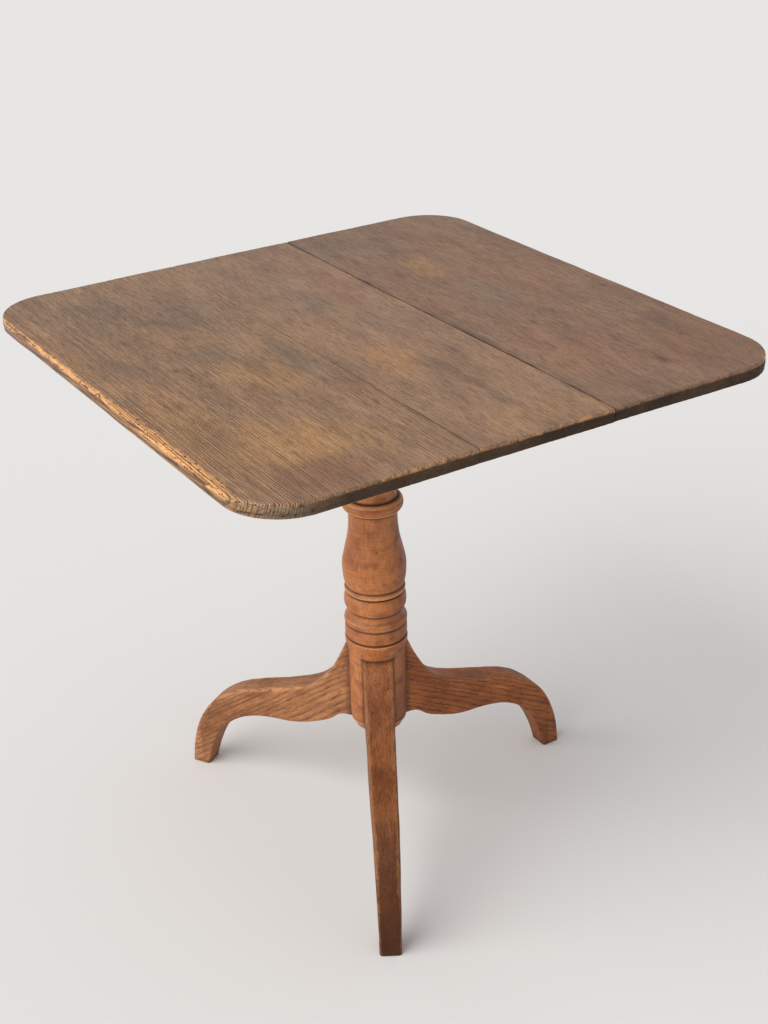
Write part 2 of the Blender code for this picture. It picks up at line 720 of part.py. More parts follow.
def make_legs():
    lowers = leg_edge(LEG_LOWER)
    easing_in = LEG_STEPS[0] / 2
    for name, angle, shoulder in LEGS:
        rings = []
        stations = zip(leg_edge(shoulder + LEG_UPPER), lowers, leg_widths())
        for i, (upper, lower, width) in enumerate(stations):
            rings.append(leg_section(upper, lower, width, min(1.0, ROOT_EASE + i / easing_in)))
        mesh = mesh_from(name, loft(rings))
        leg = make_object(name, mesh, finish(name, OAK_LEG, 0.5))
        smooth_round(mesh)
        place(leg, (COLUMN_X, COLUMN_Y, 0))
        leg.rotation_euler.z = math.radians(angle)
        tail = extruded(tail_outline(0.0, LEG_ROOT + TAIL_OVERLAP), LEG_HEEL + FIT, TAIL_TOP, "z")
        combine(leg, "tail", moved(tail, (COLUMN_X, COLUMN_Y, 0), angle), "UNION")


def main():
    clear_scene()
    tilt = bpy.data.objects.new("tilt_axis", None)
    bpy.context.scene.collection.objects.link(tilt)
    tilt.location = PIVOT
    make_boards(tilt)
    make_tongues(tilt)
    make_battens(tilt)
    make_batten_screws(tilt)
    make_turn_buttons(tilt)
    make_block()
    make_pins()
    make_wedge()
    make_column()
    make_legs()


main()
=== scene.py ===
"""The looks of the tilt top table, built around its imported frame.

All the wooden pieces that show are modelled again in fine detail over their solids.
The screws, tongues and wedge keep theirs and get a finish.
Everything is in metres, +Z up, with the boards' grain along Y.
"""

import math

import bpy
import numpy as np
from mathutils import Matrix, Vector


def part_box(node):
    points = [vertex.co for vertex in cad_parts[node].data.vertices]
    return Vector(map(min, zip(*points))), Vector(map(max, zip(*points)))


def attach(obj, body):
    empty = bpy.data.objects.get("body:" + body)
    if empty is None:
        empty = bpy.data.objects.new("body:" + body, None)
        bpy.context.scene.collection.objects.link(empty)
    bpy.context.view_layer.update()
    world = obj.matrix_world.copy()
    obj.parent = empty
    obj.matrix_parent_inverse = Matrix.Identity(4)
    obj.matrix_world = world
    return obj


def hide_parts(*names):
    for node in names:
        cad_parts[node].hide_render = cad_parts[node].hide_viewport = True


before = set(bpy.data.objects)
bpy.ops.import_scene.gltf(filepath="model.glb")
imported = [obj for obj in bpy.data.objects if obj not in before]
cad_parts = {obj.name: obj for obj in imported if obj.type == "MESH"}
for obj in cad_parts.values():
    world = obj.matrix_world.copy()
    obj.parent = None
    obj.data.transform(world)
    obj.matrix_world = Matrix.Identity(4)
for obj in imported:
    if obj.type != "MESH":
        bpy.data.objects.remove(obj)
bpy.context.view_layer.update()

MM = 0.001
FIT = 0.0003               # clearance between pieces that fit together
WIDE = 0.060               # past anything that a cutter has to clear

# ------------------------------------------------------------------ places from the frame
BOARDS = ("top_board_left", "top_board_middle", "top_board_right")
TOP_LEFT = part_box("top_board_left")[0].x
TOP_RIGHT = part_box("top_board_right")[1].x
COLUMN_LOW, COLUMN_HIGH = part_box("column")
AXIS = Vector(((COLUMN_LOW.x + COLUMN_HIGH.x) / 2, (COLUMN_LOW.y + COLUMN_HIGH.y) / 2, 0.0))


# ------------------------------------------------------------------ smooth random fields
def hashed(ix, iy, seed):
    """A repeatable random number from 0 to 1 for each whole-numbered place."""
    mixed = np.sin(ix * 127.1 + iy * 311.7 + seed * 74.7) * 43758.5453
    return mixed - np.floor(mixed)


def ripple(x, y, size, seed):
    """Soft noise from -1 to 1 whose lumps are about the given size across."""
    u, v = np.asarray(x) / size, np.asarray(y) / size
    ix, iy = np.floor(u), np.floor(v)
    fx, fy = u - ix, v - iy
    fx, fy = fx * fx * (3 - 2 * fx), fy * fy * (3 - 2 * fy)
    near = hashed(ix, iy, seed) * (1 - fx) + hashed(ix + 1, iy, seed) * fx
    far = hashed(ix, iy + 1, seed) * (1 - fx) + hashed(ix + 1, iy + 1, seed) * fx
    return (near * (1 - fy) + far * fy) * 2 - 1


def blend(low, high, value):
    """0 below low, 1 above high, and smooth between."""
    share = np.clip((value - low) / (high - low), 0, 1)
    return share * share * (3 - 2 * share)


# ------------------------------------------------------------------ modelling helpers
def begin():
    if bpy.context.mode != "OBJECT":
        bpy.ops.object.mode_set(mode="OBJECT")
    bpy.ops.object.select_all(action="DESELECT")


def added(name):
    """Name the primitive that was just added, and open it for editing."""
    piece = bpy.context.object
    piece.name = name
    piece.data.name = name
    bpy.ops.object.mode_set(mode="EDIT")
    return piece


def open_up(piece):
    """Make a piece the active one and select all of it in edit mode."""
    begin()
    bpy.context.view_layer.objects.active = piece
    piece.select_set(True)
    bpy.ops.object.mode_set(mode="EDIT")
    bpy.ops.mesh.select_all(action="SELECT")


def apply_step(piece, kind, **settings):
    """Add a modifier with these settings and apply it at once."""
    begin()
    bpy.context.view_layer.objects.active = piece
    step = piece.modifiers.new(kind.lower(), kind)
    for key, value in settings.items():
        setattr(step, key, value)
    bpy.ops.object.modifier_apply(modifier=step.name)


def points_of(piece):
    flat = np.empty(len(piece.data.vertices) * 3)
    piece.data.vertices.foreach_get("co", flat)
    return flat.reshape(-1, 3)


def set_points(piece, points):
    piece.data.vertices.foreach_set("co", np.asarray(points, float).ravel())
    piece.data.update()


def paint(piece, name, values):
    """Store a number at every vertex for the materials to read."""
    layer = piece.data.attributes.new(name, "FLOAT", "POINT")
    layer.data.foreach_set("value", np.asarray(values, np.float32))


def close_up(piece, crisp=40):
    """Point the faces outwards and shade them, with edges over the angle left crisp."""
    open_up(piece)
    bpy.ops.mesh.normals_make_consistent(inside=False)
    bpy.ops.object.mode_set(mode="OBJECT")
    bpy.ops.object.shade_smooth_by_angle(angle=math.radians(crisp))
    piece.select_set(False)


def combine(piece, other, operation="DIFFERENCE"):
    """Cut a piece by another, or join them, and drop the other."""
    apply_step(piece, "BOOLEAN", operation=operation, solver="EXACT", object=other)
    bpy.data.objects.remove(other)


def bar(name, outline, low, high, along="z"):
    """A straight bar with the outline as its section: (x, y) places, or (x, z) along y."""
    begin()
    bpy.ops.mesh.primitive_circle_add(vertices=len(outline), radius=1, fill_type="NGON")
    piece = added(name)
    bpy.ops.object.mode_set(mode="OBJECT")
    if along == "z":
        set_points(piece, [(first, second, low) for first, second in outline])
        lift = (0, 0, high - low)
    else:
        set_points(piece, [(first, low, second) for first, second in outline])
        lift = (0, high - low, 0)
    open_up(piece)
    bpy.ops.mesh.extrude_region_move(TRANSFORM_OT_translate={"value": lift})
    bpy.ops.mesh.select_all(action="SELECT")
    bpy.ops.mesh.normals_make_consistent(inside=False)
    bpy.ops.object.mode_set(mode="OBJECT")
    return piece


def arc_places(centre, radius, start, end, steps):
    """Places on an arc, angles in degrees."""
    places = []
    for i in range(steps + 1):
        angle = math.radians(start + (end - start) * i / steps)
        places.append((centre[0] + radius * math.cos(angle), centre[1] + radius * math.sin(angle)))
    return places


def soften(piece, width, segments=3):
    """Round every sharp edge with a bevel."""
    apply_step(piece, "BEVEL", width=width, segments=segments, limit_method="ANGLE",
               angle_limit=math.radians(30))


def slice_across(piece, along, low, high, count):
    """Cut extra edges across a piece, which leave count equal stretches from low to high."""
    open_up(piece)
    axis = "xyz".index(along)
    direction = [0.0, 0.0, 0.0]
    direction[axis] = 1.0
    for i in range(1, count):
        place = [0.0, 0.0, 0.0]
        place[axis] = low[axis] + (high[axis] - low[axis]) * i / count
        bpy.ops.mesh.select_all(action="SELECT")
        bpy.ops.mesh.bisect(plane_co=place, plane_no=direction)
    bpy.ops.object.mode_set(mode="OBJECT")


def settle(piece, finish, body, node):
    """Give a piece its finish and its body, and hide the solid that it stands for."""
    piece.data.materials.append(finish)
    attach(piece, body)
    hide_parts(node)
    return piece


def ring_stack(name, sides, levels):
    """A closed tube of rings, one unit apart, to be shaped: its levels and turns."""
    begin()
    bpy.ops.mesh.primitive_circle_add(vertices=sides, radius=1, fill_type="NGON")
    piece = added(name)
    bpy.ops.mesh.select_all(action="SELECT")
    for _ in range(levels - 1):
        bpy.ops.mesh.extrude_region_move(TRANSFORM_OT_translate={"value": (0, 0, 1)})
    bpy.ops.object.mode_set(mode="OBJECT")
    points = points_of(piece)
    level = np.rint(points[:, 2]).astype(int)
    turn = np.arctan2(points[:, 1], points[:, 0]) % (2 * math.pi)
    return piece, level, turn


# ------------------------------------------------------------------ node helpers
class Sheet:
    """Short ways to lay out the nodes of one tree."""

    def __init__(self, tree):
        self.tree = tree

    def node(self, kind, **settings):
        made = self.tree.nodes.new(kind)
        for key, value in settings.items():
            setattr(made, key, value)
        return made

    def put(self, socket, value):
        """Link a socket, or set its constant."""
        if isinstance(value, bpy.types.NodeSocket):
            self.tree.links.new(value, socket)
        else:
            socket.default_value = value

    def feed(self, made, *values):
        """Put the values into a node's sockets in their order, and return its first output."""
        for socket, value in zip(made.inputs, values):
            self.put(socket, value)
        return made.outputs[0]

    def math(self, operation, first, second=0.0, third=0.0, clamp=False):
        made = self.node("ShaderNodeMath", operation=operation, use_clamp=clamp)
        return self.feed(made, first, second, third)

    def vector(self, operation, first, second=(0.0, 0.0, 0.0)):
        made = self.node("ShaderNodeVectorMath", operation=operation)
        self.put(made.inputs[0], first)
        self.put(made.inputs[1], second)
        return made.outputs["Value" if operation in ("LENGTH", "DISTANCE") else "Vector"]

    def step(self, value, low, high, to_low=0.0, to_high=1.0):
        made = self.node("ShaderNodeMapRange", interpolation_type="SMOOTHSTEP")
        return self.feed(made, value, low, high, to_low, to_high)

    def noise(self, vector, scale, detail=2.0, roughness=0.5):
        made = self.node("ShaderNodeTexNoise", noise_dimensions="3D")
        self.put(made.inputs["Vector"], vector)
        self.put(made.inputs["Scale"], scale)
        self.put(made.inputs["Detail"], detail)
        self.put(made.inputs["Roughness"], roughness)
        return made.outputs[0]

    def mix(self, share, first, second, way="MIX"):
        made = self.node("ShaderNodeMix", data_type="RGBA", blend_type=way)
        self.put(made.inputs[0], share)
        self.put(made.inputs[6], first)
        self.put(made.inputs[7], second)
        return made.outputs[2]

    def parts(self, vector):
        made = self.node("ShaderNodeSeparateXYZ")
        self.put(made.inputs[0], vector)
        return made.outputs

    def join(self, x, y, z):
        return self.feed(self.node("ShaderNodeCombineXYZ"), x, y, z)

    def grey(self, value):
        """The same number as a colour."""
        return self.join(value, value, value)

    def painted(self, name):
        return self.node("ShaderNodeAttribute", attribute_name=name).outputs["Fac"]

    def place(self, group, **values):
        """Place a shared group and return its outputs by name."""
        made = self.node("ShaderNodeGroup", node_tree=group)
        for key, value in values.items():
            self.put(made.inputs[key.replace("_", " ")], value)
        return made.outputs


def shared_group(name, inputs, outputs, lay_out):
    """Build a node group once: sockets are (name, kind, default)."""
    group = bpy.data.node_groups.new(name, "ShaderNodeTree")
    for label, kind, value in inputs:
        socket = group.interface.new_socket(name=label, in_out="INPUT", socket_type=kind)
        if value is not None:
            socket.default_value = value
    for label, kind in outputs:
        group.interface.new_socket(name=label, in_out="OUTPUT", socket_type=kind)
    sheet = Sheet(group)
    given = sheet.node("NodeGroupInput").outputs
    made = lay_out(sheet, given)
    end = sheet.node("NodeGroupOutput")
    for label, value in made.items():
        sheet.put(end.inputs[label], value)
    return group


FLOAT = "NodeSocketFloat"
VECTOR = "NodeSocketVector"
COLOUR = "NodeSocketColor"


# ------------------------------------------------------------------ shared wood effects
def lay_out_growth(sheet, given):
    """Growth rings of a trunk that runs along Y, as a saw cuts them in any direction."""
    where = given["Vector"]
    slow = sheet.noise(sheet.vector("MULTIPLY", where, (9.0, 1.3, 9.0)), 1.0, 2.0)
    quick = sheet.noise(sheet.vector("MULTIPLY", where, (60.0, 5.0, 60.0)), 1.0, 2.0)
    sway = sheet.math("ADD", sheet.math("SUBTRACT", slow, 0.5),
                      sheet.math("MULTIPLY", sheet.math("SUBTRACT", quick, 0.5), 0.12))
    sway = sheet.math("MULTIPLY", sway, given["Waver"])
    x, y, z = sheet.parts(where)
    dx = sheet.math("ADD", sheet.math("SUBTRACT", x, given["Heart X"]), sway)
    dz = sheet.math("ADD", sheet.math("SUBTRACT", z, given["Heart Z"]),
                    sheet.math("MULTIPLY", y, given["Lean"]))
    radius = sheet.vector("LENGTH", sheet.join(dx, 0.0, dz))
    ring = sheet.math("DIVIDE", radius, given["Spacing"])
    uneven = sheet.noise(sheet.join(sheet.math("MULTIPLY", ring, 0.35), 0.0, 3.0), 1.0, 1.0)
    ring = sheet.math("ADD", ring, sheet.math("MULTIPLY", uneven, 2.2))
    phase = sheet.math("FRACT", ring)
    early = sheet.math("MULTIPLY", sheet.step(phase, 0.0, 0.07),
                       sheet.step(phase, 0.15, 0.62, 1.0, 0.0))
    broken = sheet.noise(sheet.vector("MULTIPLY", where, (260.0, 7.0, 260.0)), 1.0, 2.0, 0.6)
    early = sheet.math("MULTIPLY", early, sheet.step(broken, 0.25, 0.72, 0.25, 1.0))
    cells = sheet.noise(sheet.vector("MULTIPLY", where, (1100.0, 42.0, 1100.0)), 1.0, 1.0)
    dashes = sheet.noise(sheet.vector("MULTIPLY", where, (340.0, 32.0, 340.0)), 1.0, 2.0, 0.55)
    fine = sheet.math("MULTIPLY", sheet.step(cells, 0.55, 0.68),
                      sheet.math("MULTIPLY_ADD", early, 0.8, 0.2))
    coarse = sheet.math("MULTIPLY", sheet.step(dashes, 0.57, 0.64),
                        sheet.math("MULTIPLY_ADD", early, 0.5, 0.5))
    pores = sheet.math("MAXIMUM", fine, coarse)
    fibre = sheet.noise(sheet.vector("MULTIPLY", where, (400.0, 44.0, 400.0)), 1.0, 4.0, 0.85)
    speckle = sheet.noise(where, 430.0, 3.0, 0.7)
    fibre = sheet.math("MULTIPLY_ADD", fibre, 0.62, sheet.math("MULTIPLY", speckle, 0.42))
    streak = sheet.noise(sheet.vector("MULTIPLY", where, (36.0, 10.0, 36.0)), 1.0, 5.0, 0.66)
    height = sheet.math("MULTIPLY_ADD", early, -0.55, sheet.math("MULTIPLY", fibre, 0.3))
    height = sheet.math("MULTIPLY_ADD", pores, -0.8, height)
    return {"Early": early, "Pores": pores, "Fibre": fibre, "Streak": streak, "Height": height}


def lay_out_patina(sheet, given):
    """Blotches of old wax and dirt, fine specks, and small knocks."""
    where = given["Vector"]
    size = given["Size"]
    drawn = sheet.vector("MULTIPLY", where, (1.0, 0.55, 1.0))
    cloud = sheet.noise(drawn, sheet.math("DIVIDE", 1.0, size), 4.0, 0.6)
    blotch = sheet.step(cloud, 0.38, 0.66)
    fine = sheet.noise(where, sheet.math("DIVIDE", 14.0, size), 3.0, 0.65)
    specks = sheet.step(fine, 0.62, 0.74)
    knocks = sheet.node("ShaderNodeTexVoronoi", feature="F1")
    sheet.put(knocks.inputs["Vector"], where)
    sheet.put(knocks.inputs["Scale"], sheet.math("DIVIDE", 2.2, size))
    sheet.put(knocks.inputs["Randomness"], 1.0)
    pits = sheet.step(knocks.outputs["Distance"], 0.04, 0.12, 1.0, 0.0)
    return {"Blotch": blotch, "Specks": specks, "Pits": pits}


def lay_out_wear(sheet, given):
    """Where handling has rubbed an edge: a painted edge, broken up along its length."""
    patchy = sheet.noise(given["Vector"], 55.0, 3.0, 0.6)
    share = sheet.math("MULTIPLY_ADD", sheet.math("SUBTRACT", patchy, 0.5), 1.1, given["Edge"])
    return {"Worn": sheet.math("MULTIPLY", sheet.step(share, 0.25, 0.75), given["Amount"])}


def lay_out_tint(sheet, given):
    """Lay the ring lines, pores and streaks over a ground colour."""
    pale = sheet.mix(1.0, given["Ground"], (1.13, 1.11, 1.08, 1.0), "MULTIPLY")
    deep = sheet.mix(1.0, given["Ground"], (0.85, 0.83, 0.83, 1.0), "MULTIPLY")
    colour = sheet.mix(sheet.step(given["Streak"], 0.32, 0.68), deep, pale)
    line = sheet.math("MULTIPLY", given["Early"], given["Lines"], clamp=True)
    colour = sheet.mix(line, colour, given["Dark"])
    fibre = sheet.step(given["Fibre"], 0.34, 0.66, 0.68, 1.30)
    colour = sheet.mix(1.0, colour, sheet.grey(fibre), "MULTIPLY")
    pores = sheet.math("MULTIPLY", given["Pores"], given["Depth"], clamp=True)
    return {"Colour": sheet.mix(pores, colour, given["Dark"])}


GROWTH = shared_group(
    "growth_rings",
    (("Vector", VECTOR, None), ("Spacing", FLOAT, 0.0026), ("Heart X", FLOAT, 0.0),
     ("Heart Z", FLOAT, -0.1), ("Lean", FLOAT, 0.0), ("Waver", FLOAT, 0.01)),
    (("Early", FLOAT), ("Pores", FLOAT), ("Fibre", FLOAT), ("Streak", FLOAT), ("Height", FLOAT)),
    lay_out_growth,
)
PATINA = shared_group(
    "patina",
    (("Vector", VECTOR, None), ("Size", FLOAT, 0.08)),
    (("Blotch", FLOAT), ("Specks", FLOAT), ("Pits", FLOAT)),
    lay_out_patina,
)
WEAR = shared_group(
    "edge_wear",
    (("Vector", VECTOR, None), ("Edge", FLOAT, 0.0), ("Amount", FLOAT, 1.0)),
    (("Worn", FLOAT),),
    lay_out_wear,
)
TINT = shared_group(
    "wood_tint",
    (("Ground", COLOUR, None), ("Dark", COLOUR, None), ("Early", FLOAT, 0.0),
     ("Pores", FLOAT, 0.0), ("Fibre", FLOAT, 0.5), ("Streak", FLOAT, 0.5),
     ("Lines", FLOAT, 0.5), ("Depth", FLOAT, 0.5)),
    (("Colour", COLOUR),),
    lay_out_tint,
)


def new_finish(name):
    """A material with its shader, its node sheet and the piece's own coordinates."""
    finish = bpy.data.materials.new(name)
    finish.use_nodes = True
    sheet = Sheet(finish.node_tree)
    shader = finish.node_tree.nodes["Principled BSDF"]
    where = sheet.node("ShaderNodeTexCoord").outputs["Object"]
    return finish, sheet, shader, where


def turned_grain(sheet, where, origin, along, face, size=1.0):
    """Coordinates with Y along the grain and Z out of the given face, finer for a smaller size."""
    y = Vector(along).normalized()
    z = (Vector(face) - y * Vector(face).dot(y)).normalized()
    x = y.cross(z)
    turn = Matrix((x, y, z)).transposed().to_euler("XYZ")
    made = sheet.node("ShaderNodeMapping", vector_type="TEXTURE")
    sheet.put(made.inputs["Vector"], where)
    sheet.put(made.inputs["Location"], tuple(origin))
    sheet.put(made.inputs["Rotation"], tuple(turn))
    sheet.put(made.inputs["Scale"], (size, size, size))
    return made.outputs[0]


def raise_grain(sheet, shader, height, depth):
    bump = sheet.node("ShaderNodeBump")
    sheet.put(bump.inputs["Height"], height)
    sheet.put(bump.inputs["Distance"], depth)
    sheet.put(bump.inputs["Strength"], 1.0)
    sheet.put(shader.inputs["Normal"], bump.outputs[0])


def rgb(red, green, blue):
    return (red, green, blue, 1.0)


def tint(sheet, rings, ground, dark, lines, depth):
    """The ground colour with the growth rings' lines, pores and streaks over it."""
    return sheet.place(
        TINT, Ground=ground, Dark=dark, Early=rings["Early"], Pores=rings["Pores"],
        Fibre=rings["Fibre"], Streak=rings["Streak"], Lines=lines, Depth=depth)["Colour"]


# ------------------------------------------------------------------ finishes
def board_finish(name, growth, ground, lines, relief):
    """Old oak top: grey-brown ground, tan and grey areas, greyer towards the back as a painted sheen,
    rubbed golden at its edges.
    """
    finish, sheet, shader, where = new_finish(name)
    rings = sheet.place(GROWTH, Vector=where, **growth)
    patina = sheet.place(PATINA, Vector=where, Size=0.11)
    grey = sheet.math("MULTIPLY_ADD", patina["Blotch"], 0.22, sheet.painted("grey"), clamp=True)
    colour = sheet.mix(sheet.painted("gold"), ground, rgb(0.470, 0.247, 0.100))
    colour = sheet.mix(sheet.painted("red"), colour, rgb(0.290, 0.142, 0.076))
    # Grey areas, and a painted sheen greying the back of the top.
    colour = sheet.mix(grey, colour, rgb(0.205, 0.144, 0.102))
    edge = sheet.painted("edge")
    end = sheet.painted("end")
    rubbed = sheet.place(WEAR, Vector=where, Edge=edge, Amount=1.0)["Worn"]
    amber = sheet.mix(patina["Specks"], rgb(0.720, 0.360, 0.140), rgb(0.380, 0.165, 0.062))
    amber = sheet.mix(sheet.painted("bleached"), amber, rgb(0.420, 0.260, 0.150))
    colour = sheet.mix(rubbed, colour, amber)
    worm = sheet.noise(sheet.vector("MULTIPLY", where, (330.0, 130.0, 330.0)), 1.0, 2.0, 0.6)
    worm = sheet.math("MULTIPLY", sheet.step(worm, 0.60, 0.66), sheet.step(edge, 0.15, 0.6))
    colour = sheet.mix(worm, colour, rgb(0.100, 0.045, 0.022))
    soot = sheet.mix(patina["Blotch"], rgb(0.074, 0.038, 0.013), rgb(0.034, 0.018, 0.007))
    soot = sheet.mix(sheet.painted("bleached"), soot, rgb(0.230, 0.165, 0.100))
    colour = sheet.mix(end, colour, soot)
    lines = sheet.math("MULTIPLY", sheet.painted("lines"), lines)
    colour = tint(sheet, rings, colour, rgb(0.098, 0.054, 0.034), lines, 0.62)
    dirt_and_shade = sheet.math("MULTIPLY_ADD", patina["Specks"], 0.10, sheet.painted("dirt_and_shade"), clamp=True)
    colour = sheet.mix(dirt_and_shade, colour, rgb(0.040, 0.028, 0.022))
    sheet.put(shader.inputs["Base Color"], colour)
    gloss = sheet.step(patina["Blotch"], 0.0, 1.0, 0.44, 0.54)
    gloss = sheet.math("MULTIPLY_ADD", rings["Early"], 0.12, gloss)
    gloss = sheet.math("MULTIPLY_ADD", end, 0.25, gloss)
    sheet.put(shader.inputs["Roughness"], gloss)
    height = sheet.math("MULTIPLY_ADD", patina["Pits"], -0.6, rings["Height"])
    height = sheet.math("MULTIPLY_ADD", worm, -1.2, height)
    raise_grain(sheet, shader, height, relief)
    shader.inputs["Specular IOR Level"].default_value = 0.28
    return finish


def leg_finish(name, along, face, ground, dark, low_shade, low_shade_to, rub, spacing, heart):
    """Waxed oak: warm orange-brown with dark pores, darker down the leg as painted shade, rubbed arrises.
    """
    finish, sheet, shader, where = new_finish(name)
    grain = turned_grain(sheet, where, AXIS, along, face, 0.7)
    rings = sheet.place(GROWTH, Vector=grain, Spacing=spacing, Heart_X=heart, Heart_Z=-0.43,
                        Lean=0.01, Waver=0.017)
    patina = sheet.place(PATINA, Vector=grain, Size=0.05)
    colour = sheet.mix(patina["Blotch"], ground, dark)
    height_up = sheet.parts(where)[2]
    # Painted shade: the leg is coloured darker towards the floor, for the shadow of the top.
    low = sheet.step(height_up, 0.02, low_shade_to, 1.0, 0.0)
    colour = sheet.mix(sheet.math("MULTIPLY", low, low_shade), colour, rgb(0.056, 0.016, 0.005))
    rubbed = sheet.place(WEAR, Vector=where, Edge=sheet.painted("edge"), Amount=rub)["Worn"]
    colour = sheet.mix(rubbed, colour, rgb(0.520, 0.250, 0.110))
    # Painted shade at the root, wear and a painted contact shadow at the sole.
    colour = sheet.mix(sheet.painted("dirt_and_shade"), colour, rgb(0.060, 0.030, 0.018))
    colour = tint(sheet, rings, colour, rgb(0.055, 0.024, 0.014), 0.45, 0.68)
    pits = sheet.math("MULTIPLY", patina["Pits"], 0.6)
    colour = sheet.mix(pits, colour, rgb(0.030, 0.016, 0.010))
    sheet.put(shader.inputs["Base Color"], colour)
    sheet.put(shader.inputs["Roughness"], sheet.step(rings["Fibre"], 0.2, 0.8, 0.42, 0.58))
    height = sheet.math("MULTIPLY_ADD", patina["Pits"], -0.7, rings["Height"])
    raise_grain(sheet, shader, height, 0.00035)
    shader.inputs["Specular IOR Level"].default_value = 0.16
    return finish


NECK_LIGHT = (0.500, 0.520)      # heights over which the column is painted lighter and redder above: painted light under the top


def column_finish():
    """Turned close-grained wood: orange-brown, reddish clouds, darker in every groove from dirt and painted
    shade, with painted shade on the side away from the window and painted light high up.
    """
    finish, sheet, shader, where = new_finish("turned_fruitwood")
    grain = turned_grain(sheet, where, AXIS, (0.02, 0.01, 1.0), (0.6, -0.8, 0.0))
    rings = sheet.place(GROWTH, Vector=grain, Spacing=0.0045, Heart_X=0.012, Heart_Z=-0.020,
                        Lean=0.05, Waver=0.022)
    patina = sheet.place(PATINA, Vector=grain, Size=0.045)
    colour = sheet.mix(patina["Blotch"], rgb(0.490, 0.178, 0.054), rgb(0.370, 0.120, 0.036))
    # Painted light: from these heights up the column is coloured lighter and redder, standing in for light
    # that reaches under the top.
    neck = sheet.step(sheet.parts(where)[2], *NECK_LIGHT)
    colour = sheet.mix(neck, colour, rgb(0.610, 0.228, 0.062))
    # Real stains and reddish clouds, with painted shade on the side turned away from the window, strongest
    # on the base.
    colour = sheet.mix(sheet.painted("stain_and_shade"), colour, rgb(0.180, 0.052, 0.020))
    rubbed = sheet.place(WEAR, Vector=where, Edge=sheet.painted("edge"), Amount=0.85)["Worn"]
    colour = sheet.mix(rubbed, colour, rgb(0.600, 0.285, 0.115))
    marks = sheet.noise(sheet.vector("MULTIPLY", where, (25.0, 25.0, 850.0)), 1.0, 3.0, 0.6)
    tone = sheet.step(marks, 0.35, 0.65, 0.84, 1.13)
    colour = sheet.mix(1.0, colour, sheet.grey(tone), "MULTIPLY")
    colour = sheet.place(
        TINT, Ground=colour, Dark=rgb(0.150, 0.050, 0.022), Early=rings["Early"],
        Pores=rings["Pores"], Fibre=sheet.math("MULTIPLY_ADD", rings["Fibre"], 0.5, 0.25),
        Streak=sheet.math("MULTIPLY_ADD", rings["Streak"], 0.5, 0.25), Lines=0.12, Depth=0.22,
    )["Colour"]
    # Dirt and painted shade: dark in the grooves, over each leg's top and beside the legs.
    colour = sheet.mix(sheet.painted("dirt_and_shade"), colour, rgb(0.045, 0.020, 0.012))
    specks = sheet.math("MULTIPLY", patina["Specks"], 0.42)
    colour = sheet.mix(specks, colour, rgb(0.150, 0.048, 0.024))
    sheet.put(shader.inputs["Base Color"], colour)
    sheet.put(shader.inputs["Roughness"], sheet.step(rings["Fibre"], 0.2, 0.8, 0.38, 0.52))
    raise_grain(sheet, shader, sheet.math("MULTIPLY_ADD", marks, 0.5, rings["Height"]), 0.00016)
    shader.inputs["Specular IOR Level"].default_value = 0.35
    return finish


def rough_oak_finish(name, along, face, ground=rgb(0.200, 0.118, 0.066)):
    """Unwaxed oak under the top: dry, browned, with saw marks across the grain."""
    finish, sheet, shader, where = new_finish(name)
    grain = turned_grain(sheet, where, (0.3, 0.1, 0.2), along, face)
    rings = sheet.place(GROWTH, Vector=grain, Spacing=0.0036, Heart_X=0.05, Heart_Z=-0.11,
                        Lean=0.04, Waver=0.03)
    patina = sheet.place(PATINA, Vector=grain, Size=0.06)
    colour = sheet.mix(patina["Blotch"], ground, rgb(0.145, 0.088, 0.052))
    rubbed = sheet.place(WEAR, Vector=where, Edge=sheet.painted("edge"), Amount=0.8)["Worn"]
    colour = sheet.mix(rubbed, colour, rgb(0.330, 0.200, 0.110))
    colour = sheet.mix(sheet.painted("dirt_and_shade"), colour, rgb(0.060, 0.036, 0.022))
    colour = tint(sheet, rings, colour, rgb(0.050, 0.030, 0.020), 0.55, 0.6)
    sheet.put(shader.inputs["Base Color"], colour)
    sheet.put(shader.inputs["Roughness"], sheet.step(rings["Fibre"], 0.2, 0.8, 0.62, 0.80))
    saw = sheet.math("SINE", sheet.math("MULTIPLY", sheet.parts(grain)[1], 2600.0))
    height = sheet.math("MULTIPLY_ADD", saw, 0.10, rings["Height"])
    raise_grain(sheet, shader, height, 0.00030)
    return finish


def iron_finish():
    """Old screws: dark iron, brown with rust in patches."""
    finish, sheet, shader, where = new_finish("old_iron")
    rust = sheet.step(sheet.noise(where, 700.0, 4.0, 0.7), 0.42, 0.62)
    colour = sheet.mix(rust, rgb(0.105, 0.098, 0.092), rgb(0.130, 0.052, 0.026))
    sheet.put(shader.inputs["Base Color"], colour)
    sheet.put(shader.inputs["Metallic"], sheet.step(rust, 0.0, 1.0, 0.95, 0.25))
    sheet.put(shader.inputs["Roughness"], sheet.step(rust, 0.0, 1.0, 0.42, 0.85))
    raise_grain(sheet, shader, rust, 0.00012)
    return finish


def wear_slot(item, finish):
    item.data.materials.clear()
    item.data.materials.append(finish)


# ------------------------------------------------------------------ the top
CORNER = 0.073
UPPER_ROUND = 0.003
LOWER_ROUND = 0.005
GRAIN_STEP = 0.0016
LENGTH_STEP = 0.0080

